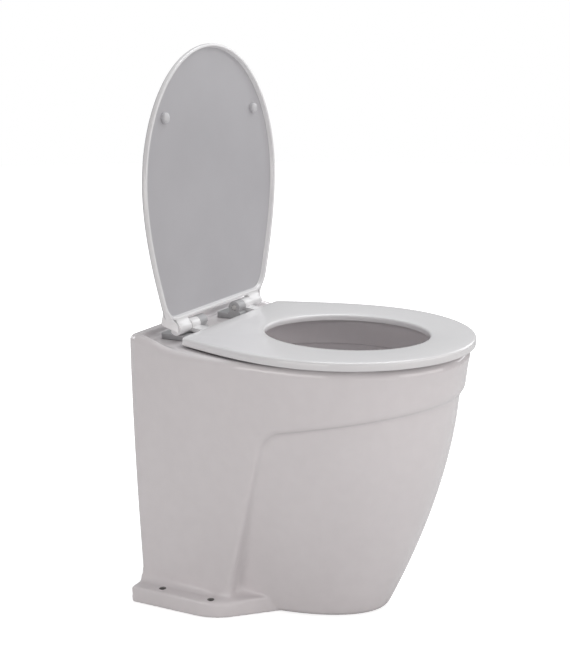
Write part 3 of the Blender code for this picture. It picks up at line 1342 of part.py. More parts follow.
def pump_front():
    """The front cover, and the gasket and bolts at the sump."""
    face = CHAMBER_FRONT + TOUCH_GAP
    thick = COVER_THICKNESS
    profile = [(0, thick * 1.6), (IMPELLER_HUB_RADIUS, thick * 1.6), (IMPELLER_HUB_RADIUS * 1.3, thick),
               (CHAMBER_RADIUS * 0.95, thick), (CHAMBER_RADIUS, thick * 0.8), (CHAMBER_RADIUS, 0), (0, 0)]
    cover = turned("pump_cover", profile, at(0, face, PUMP_HEIGHT), (0, -1, 0), "black_plastic")
    for x, z in cover_screw_places():
        join(cover, rod("cover_lug", COVER_LUG_RADIUS, at(x, face, z), at(x, face + thick * 0.8, z),
                        sides=TINY_SIDES))
    low = neck_top() + TOUCH_GAP
    sump_ring("sump_gasket", low, GASKET_THICKNESS, OUTLET_RADIUS, "rubber")
    seat_z = neck_top() - NECK_FLANGE_THICKNESS - TOUCH_GAP
    depth = SUMP_UNDERSIDE + SUMP_BOLT_DEPTH - seat_z
    for i, (x, d) in enumerate(sump_bolt_places()):
        bolt("sump_bolt_" + str(i + 1), SUMP_BOLT_HEAD_RADIUS, SUMP_BOLT_RADIUS, at(x, d, seat_z),
             (0, 0, 1), depth)


def rotor():
    """Shaft, impeller, cutter blade and nut, which turn together."""
    axis = PUMP_HEIGHT
    rod("motor_shaft", SHAFT_RADIUS, at(0, SHAFT_BACK, axis), at(0, SHAFT_FRONT, axis), "stainless",
        SMALL_SIDES)
    bore = SHAFT_RADIUS + TOUCH_GAP
    disc = IMPELLER_DISC_THICKNESS
    hub = IMPELLER_HUB_END - IMPELLER_BACK
    profile = [(bore, hub), (IMPELLER_HUB_RADIUS * 0.8, hub), (IMPELLER_HUB_RADIUS, disc),
               (IMPELLER_RADIUS, disc), (IMPELLER_RADIUS, 0), (bore, 0)]
    wheel = turned("impeller", profile, at(0, IMPELLER_BACK, axis), (0, -1, 0), "black_plastic", ROUND_SIDES)
    height = IMPELLER_VANE_END - IMPELLER_BACK - disc / 2
    middle = (IMPELLER_VANE_END + IMPELLER_BACK + disc / 2) / 2
    for i in range(IMPELLER_VANES):
        angle = 2 * math.pi * i / IMPELLER_VANES
        reach = IMPELLER_RADIUS - IMPELLER_VANE_THICKNESS / 2
        bow = IMPELLER_HUB_RADIUS * 0.5
        half = IMPELLER_VANE_THICKNESS / 2
        line = [(IMPELLER_HUB_RADIUS * 0.7, -half), (reach * 0.55, -half + bow * 0.55),
                (reach * 0.96, bow - half),
                (reach * 0.96, bow + half), (reach * 0.55, half + bow * 0.55),
                (IMPELLER_HUB_RADIUS * 0.7, half)]
        frame = (Matrix.Translation(at(0, middle, axis)) @ Matrix.Rotation(math.pi / 2, 4, "X")
                 @ Matrix.Rotation(angle, 4, "Z"))
        join(wheel, plate("vane", [line], height, frame))
    blade_at = IMPELLER_HUB_END + TOUCH_GAP + BLADE_THICKNESS / 2
    arm = []
    for side in (1, -1):
        arm += [(side * BLADE_WIDTH / 2, -side * BLADE_WIDTH / 2),
                (side * BLADE_REACH, -side * BLADE_TIP_WIDTH / 2),
                (side * BLADE_REACH * 0.97, side * BLADE_TIP_WIDTH / 2),
                (side * BLADE_WIDTH / 2, side * BLADE_WIDTH / 2)]
    hole = arc((0, 0), bore, 0, 2 * math.pi * (1 - 1 / SMALL_SIDES), SMALL_SIDES - 1)
    frame = Matrix.Translation(at(0, blade_at, axis)) @ Matrix.Rotation(math.pi / 2, 4, "X")
    plate("cutter_blade", [arm, hole], BLADE_THICKNESS, frame, "stainless")
    nut_at = blade_at + BLADE_THICKNESS / 2 + TOUCH_GAP
    nut = rod("blade_nut", BLADE_NUT_RADIUS, at(0, nut_at, axis), at(0, nut_at + BLADE_NUT_THICKNESS, axis),
              "stainless", 6)
    cut(nut, rod("blade_nut_bore", bore, at(0, nut_at - CUT_OVERRUN, axis),
                 at(0, nut_at + BLADE_NUT_THICKNESS + CUT_OVERRUN, axis), sides=SMALL_SIDES))


def motor():
    """Motor can with its bearing, the shaft seal, the end cap and a cable gland."""
    axis = PUMP_HEIGHT
    inner = SHAFT_RADIUS + TOUCH_GAP
    seal = [(SEAL_RADIUS, SEAL_LENGTH), (SEAL_RADIUS, 0), (inner, 0), (inner, SEAL_LENGTH)]
    turned("shaft_seal", seal, at(0, CHAMBER_BACK + RUN_GAP, axis), (0, -1, 0), "rubber", SMALL_SIDES)
    front = CHAMBER_BACK - TOUCH_GAP
    race = [(BEARING_RADIUS, BEARING_LENGTH), (BEARING_RADIUS, 0), (inner, 0), (inner, BEARING_LENGTH)]
    turned("motor_bearing", race, at(0, front - BEARING_LENGTH, axis), (0, -1, 0), "stainless", SMALL_SIDES)
    length = front - MOTOR_BACK
    pocket = BEARING_LENGTH + TOUCH_GAP
    bearing_bore = BEARING_RADIUS + TOUCH_GAP
    shaft_bore = SHAFT_RADIUS + RUN_GAP
    deep = front - SHAFT_BACK + RUN_GAP
    profile = [(bearing_bore, length), (MOTOR_RADIUS, length), (MOTOR_RADIUS, 0), (0, 0), (0, length - deep),
               (shaft_bore, length - deep), (shaft_bore, length - pocket), (bearing_bore, length - pocket)]
    turned_closed("motor_can", profile, at(0, MOTOR_BACK, axis), (0, -1, 0), "motor_paint")
    cap = MOTOR_BACK - TOUCH_GAP - END_CAP_LENGTH
    cap_profile = [(0, END_CAP_LENGTH), (MOTOR_RADIUS, END_CAP_LENGTH), (MOTOR_RADIUS, END_CAP_STEP * 2),
                   (MOTOR_RADIUS - END_CAP_STEP, END_CAP_STEP), (MOTOR_RADIUS * 0.6, 0), (0, 0)]
    turned("motor_end_cap", cap_profile, at(0, cap, axis), (0, -1, 0), "black_plastic")
    gland_z = PUMP_HEIGHT
    low = cap - TOUCH_GAP - GLAND_LENGTH
    gland = [(GLAND_RADIUS, GLAND_LENGTH), (GLAND_RADIUS, GLAND_LENGTH * 0.4), (GLAND_RADIUS * 0.75, 0),
             (GLAND_BORE_RADIUS, 0), (GLAND_BORE_RADIUS, GLAND_LENGTH)]
    turned("cable_gland", gland, at(0, low, gland_z), (0, -1, 0), "black_plastic", SMALL_SIDES)


def turned_closed(name, profile, origin, direction, finish):
    """A turned solid with a blind bore: an open profile that starts and ends on the axis."""
    start = profile.index((0, 0))
    order = profile[start + 1:] + profile[:start + 1]
    return turned(name, order, origin, direction, finish)


# Discharge

def discharge():
    """Elbow, rubber non-return valve and barbed tail, screwed together at their flanges."""
    axis = PUMP_HEIGHT
    start = PORT_END_X + TOUCH_GAP
    turn = ELBOW_TURN
    bend_x = start + ELBOW_STUB
    tail_x = outlet_axis_x()
    bend = arc((bend_x, DISCHARGE_FROM_REAR - turn), turn, math.pi / 2, 0, ARC_STEPS)
    points = [at(start, DISCHARGE_FROM_REAR, axis)] + [at(x, d, axis) for x, d in bend]
    points.append(at(tail_x, ELBOW_END, axis))
    elbow = swept("discharge_elbow", points, DISCHARGE_RADIUS, "black_plastic", 4)
    join(elbow, rod("elbow_flange", OUTLET_FLANGE_RADIUS, at(tail_x, ELBOW_END, axis),
                    at(tail_x, ELBOW_END + OUTLET_FLANGE_THICKNESS, axis), sides=ROUND_SIDES))
    first = points[0] - Vector((CUT_OVERRUN, 0, 0))
    last = points[-1] + Vector((0, CUT_OVERRUN, 0))
    cut(elbow, swept("elbow_bore", [first, *points[1:-1], last], DISCHARGE_BORE, None, 4))
    joker_at = ELBOW_END - TOUCH_GAP - JOKER_FLANGE_THICKNESS
    flange = JOKER_FLANGE_THICKNESS
    nose = JOKER_NOSE_LENGTH
    wall = JOKER_WALL
    duckbill = [(JOKER_NOSE_RADIUS - wall, flange), (OUTLET_FLANGE_RADIUS, flange),
                (OUTLET_FLANGE_RADIUS, 0),
                (JOKER_NOSE_RADIUS, 0), (JOKER_NOSE_RADIUS, -nose * 0.3), (JOKER_TIP_RADIUS, -nose),
                (JOKER_TIP_RADIUS - wall, -nose), (JOKER_NOSE_RADIUS - wall, -nose * 0.3)]
    turned("joker_valve", duckbill, at(tail_x, joker_at, axis), (0, -1, 0), "rubber", PIPE_SIDES)
    tail_at = joker_at - TOUCH_GAP
    thick = OUTLET_FLANGE_THICKNESS
    profile = [(DISCHARGE_BORE, 0), (OUTLET_FLANGE_RADIUS, 0), (OUTLET_FLANGE_RADIUS, -thick),
               (DISCHARGE_RADIUS, -thick)]
    end = TAIL_END - tail_at
    for i in range(TAIL_BARBS):
        base = end + TAIL_BARB_PITCH * (TAIL_BARBS - i)
        profile += [(DISCHARGE_RADIUS, base), (DISCHARGE_RADIUS + TAIL_BARB_RISE,
                                               base - TAIL_BARB_PITCH * 0.1)]
    profile += [(DISCHARGE_RADIUS - TAIL_BARB_RISE, end), (DISCHARGE_BORE, end)]
    turned("outlet_hose_tail", profile, at(tail_x, tail_at, axis), (0, -1, 0), "black_plastic", PIPE_SIDES)


# Motor cradle

def cradle():
    """A moulded saddle on the ceramic's ledges, and the strap that holds the motor down."""
    axis = PUMP_HEIGHT
    inner = MOTOR_RADIUS + RUN_GAP
    low = FLANGE_HEIGHT + TOUCH_GAP
    plate_top = low + CRADLE_PLATE_THICKNESS
    shoulder = axis - CRADLE_SHOULDER_DROP
    wide = CRADLE_SHOULDER_HALF_WIDTH
    start = math.asin(-CRADLE_SHOULDER_DROP / inner)
    saddle = arc((0, axis), inner, start, -math.pi - start, 3 * ARC_STEPS)
    outline = [(-CRADLE_HALF_WIDTH, low), (CRADLE_HALF_WIDTH, low), (CRADLE_HALF_WIDTH, plate_top),
               (wide, plate_top),
               (wide, shoulder)] + saddle + [(-wide, shoulder), (-wide, plate_top),
                                             (-CRADLE_HALF_WIDTH, plate_top)]
    window_top = axis - inner - CRADLE_WINDOW_WALL
    half = CRADLE_WINDOW_HALF_WIDTH
    sill = low + CRADLE_WINDOW_WALL
    window = rounded([(-half, sill), (half, sill), (half, window_top), (-half, window_top)],
                     [CRADLE_WINDOW_WALL] * 4)
    middle = cradle_middle()
    frame = Matrix(((1, 0, 0, 0), (0, 0, 1, REAR_Y - middle), (0, 1, 0, 0), (0, 0, 0, 1)))
    base = plate("motor_cradle", [outline, window], CRADLE_FRONT - CRADLE_REAR, frame, "black_plastic")
    tab_low = shoulder + TOUCH_GAP
    tab_top = tab_low + STRAP_THICKNESS
    outer = inner + STRAP_THICKNESS
    first = math.asin((tab_top - axis) / outer)
    back = math.asin((tab_low - axis) / inner)
    strap = [(wide, tab_low), (wide, tab_top)]
    strap += arc((0, axis), outer, first, math.pi - first, 3 * ARC_STEPS)
    strap += [(-wide, tab_top), (-wide, tab_low)]
    strap += arc((0, axis), inner, math.pi - back, back, 3 * ARC_STEPS)
    band = plate("motor_strap", [strap], 2 * STRAP_HALF_LENGTH, frame, "stainless")
    hole = SMALL_SCREW_RADIUS + TOUCH_GAP
    for side, label in labels():
        x = side * STRAP_SCREW_X
        foot = side * CRADLE_SCREW_X
        cut(band, upright_hole(hole, x, middle, tab_low - CUT_OVERRUN, tab_top + CUT_OVERRUN, TINY_SIDES))
        cut(base, upright_hole(hole, x, middle, shoulder - SMALL_SCREW_DEPTH - TOUCH_GAP,
                               tab_top + CUT_OVERRUN,
                               TINY_SIDES))
        cut(base, upright_hole(hole, foot, middle, low - CUT_OVERRUN, plate_top + CUT_OVERRUN, TINY_SIDES))
        bolt("strap_bolt_" + label, SMALL_HEAD_RADIUS, SMALL_SCREW_RADIUS,
             at(x, middle, tab_top + TOUCH_GAP),
             (0, 0, -1), STRAP_THICKNESS + SMALL_SCREW_DEPTH)
        bolt("cradle_bolt_" + label, SMALL_HEAD_RADIUS, SMALL_SCREW_RADIUS,
             at(foot, middle, plate_top + TOUCH_GAP),
             (0, 0, -1), CRADLE_PLATE_THICKNESS + SMALL_SCREW_DEPTH)


def build():
    """Make every piece of the toilet, and hang the moving ones on their axes."""
    ceramic()
    seat()
    seat_pads()
    lid()
    lid_pads()
    for side, label in labels():
        hinge_post(side, label)
        hinge_fixings(side, label)
    damper("seat_damper", -1)
    damper("lid_damper", 1)
    nozzle()
    flush_hose()
    solenoid_valve()
    valve_bracket()
    pump_housing()
    pump_front()
    rotor()
    motor()
    discharge()
    cradle()
    hinge = at(0, HINGE_FROM_REAR, HINGE_Z)
    hang("seat_pivot", hinge, ["seat_ring", "seat_front_buffer_left", "seat_front_buffer_right",
                               "seat_rear_buffer_left", "seat_rear_buffer_right"])
    hang("lid_pivot", hinge, ["lid_cover", "lid_buffer_left", "lid_buffer_right"])
    hang("rotor_pivot", at(0, IMPELLER_BACK, PUMP_HEIGHT), ["motor_shaft", "impeller", "cutter_blade",
                                                            "blade_nut"])


build()
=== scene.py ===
"""Looks of the marine toilet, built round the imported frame. Metres, +Z up, front towards -Y."""

import json
from math import atan, atan2, cos, pi, radians, sin, sqrt, tan

import bmesh
import bpy
from mathutils import Matrix, Vector


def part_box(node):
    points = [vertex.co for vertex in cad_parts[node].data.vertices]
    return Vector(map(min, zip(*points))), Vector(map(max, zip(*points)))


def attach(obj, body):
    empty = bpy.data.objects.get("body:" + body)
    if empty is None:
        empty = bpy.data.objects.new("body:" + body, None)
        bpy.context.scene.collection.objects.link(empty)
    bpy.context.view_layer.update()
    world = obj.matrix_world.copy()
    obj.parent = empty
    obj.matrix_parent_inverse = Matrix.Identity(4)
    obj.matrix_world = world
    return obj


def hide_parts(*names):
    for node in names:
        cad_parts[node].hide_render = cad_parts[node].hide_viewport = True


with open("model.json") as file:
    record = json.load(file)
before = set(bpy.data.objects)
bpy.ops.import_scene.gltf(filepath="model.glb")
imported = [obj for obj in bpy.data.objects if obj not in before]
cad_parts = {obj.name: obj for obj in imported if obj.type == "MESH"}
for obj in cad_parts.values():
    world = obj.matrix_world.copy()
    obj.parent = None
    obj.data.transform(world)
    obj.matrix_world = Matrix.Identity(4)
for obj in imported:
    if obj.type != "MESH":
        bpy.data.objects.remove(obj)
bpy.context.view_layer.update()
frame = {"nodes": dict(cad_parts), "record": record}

REAR_Y = 0.2235
RIM = 0.388
HINGE = Vector((0.0, REAR_Y - 0.059, 0.4055))
LID_ANGLE = radians(91)
OVERRUN = 0.012
TOUCH_GAP = 0.0003
SIDES = (("left", -1), ("right", 1))
DIAGONALS = [pi / 4 + pi / 2 * i for i in range(4)]


# Tools

def at(x, d, z):
    """A point from its side offset, distance in front of the rear plane, and height."""
    return Vector((x, REAR_Y - d, z))


def link(name, data):
    thing = bpy.data.objects.new(name, data)
    bpy.context.scene.collection.objects.link(thing)
    return thing


def shade(mesh, sharp):
    """Smooth faces, with sharp edges above an angle in degrees."""
    mesh.shade_smooth()
    mesh.set_sharp_from_angle(angle=radians(sharp))


def from_bm(name, bm, sharp=35, place=None):
    """An object from a BMesh, which is moved to its place first."""
    if place is not None:
        bmesh.ops.transform(bm, matrix=place, verts=bm.verts)
    bmesh.ops.recalc_face_normals(bm, faces=bm.faces)
    mesh = bpy.data.meshes.new(name)
    bm.to_mesh(mesh)
    bm.free()
    shade(mesh, sharp)
    return link(name, mesh)


def loft(name, rings, closed=False, sharp=35):
    """A skin through rings of equal count, capped at both ends or closed on itself."""
    bm = bmesh.new()
    rows = [[bm.verts.new(point) for point in ring] for ring in rings]
    count = len(rows[0])
    pairs = list(zip(rows, rows[1:]))
    if closed:
        pairs.append((rows[-1], rows[0]))
    for low, high in pairs:
        for i in range(count):
            j = (i + 1) % count
            bm.faces.new((low[i], low[j], high[j], high[i]))
    if not closed:
        bm.faces.new(rows[0])
        bm.faces.new(rows[-1])
    return from_bm(name, bm, sharp)


def evaluated_mesh(thing):
    bpy.context.view_layer.update()
    graph = bpy.context.evaluated_depsgraph_get()
    return bpy.data.meshes.new_from_object(thing.evaluated_get(graph))


def baked(thing):
    """Apply the modifiers and the place of an object."""
    mesh = evaluated_mesh(thing)
    mesh.transform(thing.matrix_world)
    thing.modifiers.clear()
    thing.matrix_world = Matrix.Identity(4)
    thing.data = mesh
    return thing


def boolean(target, other, operation):
    modifier = target.modifiers.new(other.name, "BOOLEAN")
    modifier.operation = operation
    modifier.solver = "EXACT"
    modifier.object = other
    baked(target)
    bpy.data.objects.remove(other, do_unlink=True)
    return target


def cut(target, other):
    return boolean(target, other, "DIFFERENCE")


def join(target, other):
    return boolean(target, other, "UNION")


def together(name, things):
    """Several meshes as one object, each kept as it is."""
    bm = bmesh.new()
    for thing in things:
        baked(thing)
        bm.from_mesh(thing.data)
        bpy.data.objects.remove(thing, do_unlink=True)
    mesh = bpy.data.meshes.new(name)
    bm.to_mesh(mesh)
    bm.free()
    return link(name, mesh)


def placed(direction, origin):
    turn = Vector((0, 0, 1)).rotation_difference(Vector(direction)).to_matrix().to_4x4()
    return Matrix.Translation(origin) @ turn


def turned(name, profile, origin, direction, sides=48, sharp=35):
    """A turned solid from (radius, height) points."""
    bm = bmesh.new()
    rows = []
    for radius, height in profile:
        if radius:
            rows.append([bm.verts.new((radius * cos(2 * pi * i / sides),
                                       radius * sin(2 * pi * i / sides), height))
                         for i in range(sides)])
        else:
            rows.append([bm.verts.new((0, 0, height))])
    pairs = list(zip(rows, rows[1:]))
    if len(rows[0]) > 1:
        pairs.append((rows[-1], rows[0]))
    for a, b in pairs:
        for i in range(sides):
            j = (i + 1) % sides
            if len(a) == 1:
                bm.faces.new((a[0], b[i], b[j]))
            elif len(b) == 1:
                bm.faces.new((a[i], a[j], b[0]))
            else:
                bm.faces.new((a[i], a[j], b[j], b[i]))
    return from_bm(name, bm, sharp, placed(direction, origin))


def rod(name, radius, start, end, sides=48):
    bm = bmesh.new()
    run = end - start
    bmesh.ops.create_cone(bm, cap_ends=True, segments=sides, radius1=radius, radius2=radius, depth=run.length)
    return from_bm(name, bm, place=placed(run, (start + end) / 2))


def bevelled(thing, width, steps, angle):
    """Round the edges of an object that are sharper than an angle in degrees."""
    bevel = thing.modifiers.new("edge", "BEVEL")
    bevel.width = width
    bevel.segments = steps
    bevel.limit_method = "ANGLE"
    bevel.angle_limit = radians(angle)


def soften(thing, width, steps):
    bevelled(thing, width, steps, 32)
    baked(thing)
    shade(thing.data, 50)


def plate(name, outline, thickness, place, edge=0.0, steps=3):
    """A flat sheet inside a closed outline, with rounded edges when an edge radius is given."""
    curve = bpy.data.curves.new(name, "CURVE")
    curve.dimensions = "2D"
    curve.fill_mode = "BOTH"
    curve.extrude = thickness / 2
    spline = curve.splines.new("POLY")
    spline.points.add(len(outline) - 1)
    for point, (u, v) in zip(spline.points, outline):
        point.co = (u, v, 0, 1)
    spline.use_cyclic_u = True
    sheet = link(name, curve)
    mesh = evaluated_mesh(sheet)
    bpy.data.objects.remove(sheet, do_unlink=True)
    bm = bmesh.new()
    bm.from_mesh(mesh)
    bmesh.ops.remove_doubles(bm, verts=bm.verts, dist=1e-6)
    solid = from_bm(name, bm, place=place)
    if edge:
        soften(solid, edge, steps)
    return solid


def voxel_skin(thing, size):
    skin = thing.modifiers.new("skin", "REMESH")
    skin.mode = "VOXEL"
    skin.voxel_size = size
    return skin


def smoothed(thing, rounds, group=""):
    smooth = thing.modifiers.new("round", "SMOOTH")
    smooth.factor = 0.5
    smooth.iterations = rounds
    smooth.vertex_group = group
    return baked(thing)


def melted(thing, voxel, tilt, share_at, radius):
    """One even skin over an object, smoothed to a radius where share_at is 1 and less elsewhere.

    The skin's grid is tilted to lie along a slanted step, whose edge it then follows evenly.
    """
    thing.data.transform(Matrix.Rotation(tilt, 4, "X"))
    voxel_skin(thing, voxel).use_smooth_shade = True
    baked(thing)
    thing.data.transform(Matrix.Rotation(-tilt, 4, "X"))
    group = thing.vertex_groups.new(name="round")
    for vertex in thing.data.vertices:
        group.add([vertex.index], share_at(vertex.co), "REPLACE")
    smoothed(thing, round(2 * (radius / voxel) ** 2), "round")
    thing.vertex_groups.clear()


def ease(share):
    """From 0 to 1 with a soft start and a soft end."""
    share = min(max(share, 0), 1)
    return share * share * (3 - 2 * share)


def arc(centre, radius, start, end, steps):
    return [(centre[0] + radius * cos(start + (end - start) * i / steps),
             centre[1] + radius * sin(start + (end - start) * i / steps)) for i in range(steps + 1)]


def rounded(points, radii, steps=8):
    """A closed outline with each corner rounded to its own radius."""
    result = []
    count = len(points)
    for i, radius in enumerate(radii):
        here = Vector(points[i])
        if not radius:
            result.append(tuple(here))
            continue
        before = (Vector(points[i - 1]) - here).normalized()
        after = (Vector(points[(i + 1) % count]) - here).normalized()
        half = before.angle(after) / 2
        reach = radius / tan(half)
        centre = here + (before + after).normalized() * (radius / sin(half))
        first = here + before * reach - centre
        last = here + after * reach - centre
        start = atan2(first.y, first.x)
        result += arc(centre, radius, start, start - first.angle_signed(last), steps)
    return result


def mirrored(half):
    """A whole outline from its half, whose first and last points lie on the middle line."""
    return half + [(-x, y) for x, y in reversed(half[1:-1])]


def quarter(half_width, half_length, squareness, steps):
    """A quarter of a squared oval; a squareness of 2 is a true ellipse."""
    points = []
    for i in range(steps + 1):
        angle = pi / 2 * i / steps
        x = half_width * cos(angle) ** (2 / squareness) if i < steps else 0
        points.append((x, half_length * sin(angle) ** (2 / squareness)))
    return points


# Materials

def add_node(tree, kind, **values):
    """A shader node with its sockets and settings; its kind leaves out the common prefix."""
    node = tree.nodes.new("ShaderNode" + kind)
    for key, value in values.items():
        if key in node.inputs:
            node.inputs[key].default_value = value
        else:
            setattr(node, key, value)
    return node


class Nodes:
    """Short calls for building a node material."""

    def __init__(self, name):
        self.material = bpy.data.materials.new(name)
        self.material.use_nodes = True
        self.tree = self.material.node_tree
        self.shader = self.tree.nodes["Principled BSDF"]
        self.place = self.add("TexCoord").outputs["Object"]

    def add(self, kind, **values):
        return add_node(self.tree, kind, **values)

    def wire(self, a, b):
        self.tree.links.new(a, b)

    def noise(self, scale, detail=4.0, rough=0.5, stretch=None):
        node = self.add("TexNoise", Scale=scale, Detail=detail, Roughness=rough)
        place = self.place
        if stretch:
            mapping = self.add("Mapping", Scale=stretch)
            self.wire(place, mapping.inputs["Vector"])
            place = mapping.outputs["Vector"]
        self.wire(place, node.inputs["Vector"])
        return node.outputs["Fac"]

    def ramp(self, value, stops):
        node = self.add("ValToRGB")
        for element, (position, colour) in zip(node.color_ramp.elements, stops):
            element.position = position
            element.color = (*colour, 1)
        self.wire(value, node.inputs["Fac"])
        return node.outputs["Color"]

    def tone(self, low, high, scale, detail=4.0):
        """A colour that drifts between two near tones."""
        return self.ramp(self.noise(scale, detail), [(0.3, low), (0.7, high)])

    def span(self, value, low, high):
        node = self.add("MapRange", **{"To Min": low, "To Max": high})
        self.wire(value, node.inputs["Value"])
        return node.outputs["Result"]

    def mix(self, factor, a, b, blend="MIX"):
        """Two colours mixed; the node's colour sockets are its inputs 6 and 7 and its output 2."""
        node = self.add("Mix", data_type="RGBA", blend_type=blend)
        node.inputs[0].default_value = factor
        self.wire(a, node.inputs[6])
        self.wire(b, node.inputs[7])
        return node.outputs[2]

    def bump(self, height, strength, distance, before=None):
        node = self.add("Bump", Strength=strength, Distance=distance)
        self.wire(height, node.inputs["Height"])
        if before is not None:
            self.wire(before, node.inputs["Normal"])
        return node.outputs["Normal"]

    def set(self, **values):
        """Set or wire the shader's sockets, with _ for a space in a socket's name."""
        for key, value in values.items():
            socket = self.shader.inputs[key.replace("_", " ")]
            if hasattr(value, "is_linked"):
                self.wire(value, socket)
            else:
                socket.default_value = value


def glaze():
    """Vitreous china: a clear glaze with a faint wave over a warm white body."""
    m = Nodes("glazed_ceramic")
    body = m.tone((0.742, 0.708, 0.718), (0.772, 0.738, 0.748), 7.0, 3.0)
    fine = m.ramp(m.noise(55.0, 3.0), [(0.35, (0.73, 0.7, 0.71)), (0.65, (0.785, 0.755, 0.765))])
    speck = m.add("TexVoronoi", Scale=420.0)
    m.wire(m.place, speck.inputs["Vector"])
    dot = m.ramp(speck.outputs["Distance"], [(0.0, (0.55, 0.53, 0.5)), (0.045, (1, 1, 1))])
    tone = m.mix(0.2, m.mix(0.25, body, fine), dot, "MULTIPLY")
    wave = m.bump(m.noise(26.0, 2.0), 0.06, 0.004)
    peel = m.bump(m.noise(190.0, 2.0), 0.05, 0.0006, wave)
    m.set(Base_Color=tone, Roughness=m.span(m.noise(38.0, 4.0), 0.1, 0.2), Normal=peel,
          Coat_Weight=0.35, Coat_Roughness=0.05, IOR=1.52, Specular_IOR_Level=0.5)
    return m.material


def seat_gloss():
    """Polished thermoset: even white with a very fine skin."""
    m = Nodes("seat_plastic")
    tone = m.tone((0.775, 0.77, 0.78), (0.8, 0.795, 0.8), 11.0, 3.0)
    peel = m.bump(m.noise(240.0, 2.0), 0.04, 0.0005)
    wave = m.bump(m.noise(30.0, 2.0), 0.03, 0.002, peel)
    m.set(Base_Color=tone, Roughness=m.span(m.noise(60.0, 4.0), 0.14, 0.22), Normal=wave, Coat_Weight=0.3,
          Coat_Roughness=0.06)
    return m.material


def satin_painted_shade():
    """The inner faces of lid and seat: the same thermoset, left satin, and greyer as painted shade for these
    recessed and down-facing faces.
    """
    m = Nodes("satin_painted_shade")
    # This darker grey is painted shade, not a colour of the plastic.
    tone = m.tone((0.45, 0.445, 0.465), (0.48, 0.475, 0.495), 9.0, 3.0)
    grain = m.bump(m.noise(900.0, 2.0), 0.12, 0.0003)
    m.set(Base_Color=tone, Roughness=m.span(m.noise(70.0, 4.0), 0.34, 0.46), Normal=grain)
    return m.material


def bore_painted_shade():
    """The inside of a bolt hole: unglazed and rough, in a dark grey that is painted shade for the hole's
    shadowed inside.
    """
    m = Nodes("bore_painted_shade")
    # This dark grey is painted shade, not dirt.
    tone = m.tone((0.2, 0.195, 0.19), (0.27, 0.265, 0.26), 160.0)
    grain = m.bump(m.noise(1200.0, 3.0), 0.4, 0.0003)
    m.set(Base_Color=tone, Roughness=m.span(m.noise(90.0, 3.0), 0.72, 0.88), Normal=grain)
    return m.material


def moulded(name, low, high, rough, grain=500.0):
    """A moulded plastic or rubber with a fine grain."""
    m = Nodes(name)
    skin = m.bump(m.noise(grain, 3.0), 0.25, 0.0004)
    m.set(Base_Color=m.tone(low, high, 18.0), Normal=skin,
          Roughness=m.span(m.noise(45.0, 4.0), rough - 0.06, rough + 0.08))
    return m.material


def metal(name, low, high, rough, stretch=(1, 1, 1)):
    """A metal with drawn or turned marks."""
    m = Nodes(name)
    marks = m.noise(260.0, 3.0, 0.6, stretch)
    m.set(Base_Color=m.tone(low, high, 14.0), Metallic=1.0, Normal=m.bump(marks, 0.1, 0.0003),
          Roughness=m.span(marks, rough - 0.06, rough + 0.1))
    return m.material


def paint():
    """The motor's dark enamel."""
    m = Nodes("motor_paint")
    tone = m.tone((0.045, 0.047, 0.052), (0.06, 0.062, 0.068), 25.0)
    m.set(Base_Color=tone, Roughness=m.span(m.noise(80.0, 3.0), 0.3, 0.45),
          Normal=m.bump(m.noise(700.0, 2.0), 0.2, 0.0004), Coat_Weight=0.2, Coat_Roughness=0.2)
    return m.material


FINISH = {
    "glazed_ceramic": glaze(),
    "bore_painted_shade": bore_painted_shade(),
    "seat_plastic": seat_gloss(),
    "satin_painted_shade": satin_painted_shade(),
    "hinge_plastic": moulded("hinge_plastic", (0.4, 0.4, 0.41), (0.46, 0.46, 0.47), 0.35),
    "buffer_rubber": moulded("buffer_rubber", (0.57, 0.57, 0.585), (0.63, 0.63, 0.645), 0.26),
    "white_plastic": moulded("white_plastic", (0.7, 0.7, 0.705), (0.76, 0.76, 0.765), 0.35),
    "black_plastic": moulded("black_plastic", (0.022, 0.022, 0.023), (0.034, 0.034, 0.036), 0.42),
    "rubber": moulded("rubber", (0.018, 0.018, 0.018), (0.03, 0.03, 0.03), 0.7, 320.0),
    "stainless": metal("stainless", (0.56, 0.56, 0.55), (0.66, 0.66, 0.64), 0.28, (1, 1, 8)),
    "brass": metal("brass", (0.66, 0.47, 0.2), (0.75, 0.56, 0.28), 0.32),
    "motor_paint": paint(),
}


DRESSED = set()


def dress(thing, slot, body, *nodes, finish=None):
    """Give a new piece its material, from its finish or else from its slot's finish, and its body, and let it
    stand for CAD nodes.
    """
    thing.data.materials.clear()
    thing.data.materials.append(FINISH[finish or slot])
    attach(thing, body)
    if nodes:
        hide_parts(*nodes)
        DRESSED.update(nodes)


def second_finish(thing, finish, chosen):
    """Give the faces for which chosen(face) holds another finish, after dress."""
    thing.data.materials.append(FINISH[finish])
    for face in thing.data.polygons:
        if chosen(face):
            face.material_index = 1


# Ceramic: the solid's sections in finer steps, by side offset x and distance d from the rear plane

CERAMIC_DEPTH = 0.439
WIDEST_D = 0.196
REAR_HALF_WIDTH = 0.149
REAR_TAPER = 0.022
SIDE_HALF_WIDTH = 0.178
SIDE_TAPER = 0.055
FRONT_LEAN = 0.1
RIM_SQUARENESS = 2.18
OVAL_STEPS = 44
REAR_CORNER = 0.008
LEAST_CORNER = 0.002
SIDE_STEPS = 22
SIDE_SHARES = [0.06 + 0.91 * (i / SIDE_STEPS) ** 1.25 for i in range(SIDE_STEPS + 1)]

WALL_TOP_SHARE = 0.93
WALL_LEVELS = 16
EDGE_STEPS = 8
REAR_RIM_EDGE = 0.0075
FRONT_RIM_EDGE = 0.0125
RIDGE_HEIGHT = 0.012
RIDGE_FALL_D = 0.015
RIDGE_FALL_RUN = 0.07
RIDGE_TOP_INSET = 0.0145
RIDGE_FOOT_INSET = 0.017


def rear_half_width(z):
    return REAR_HALF_WIDTH - REAR_TAPER * max(0, 1 - z / RIM) ** 1.65


def side_half_width(z):
    return SIDE_HALF_WIDTH - SIDE_TAPER * max(0, 1 - z / RIM) ** 1.25


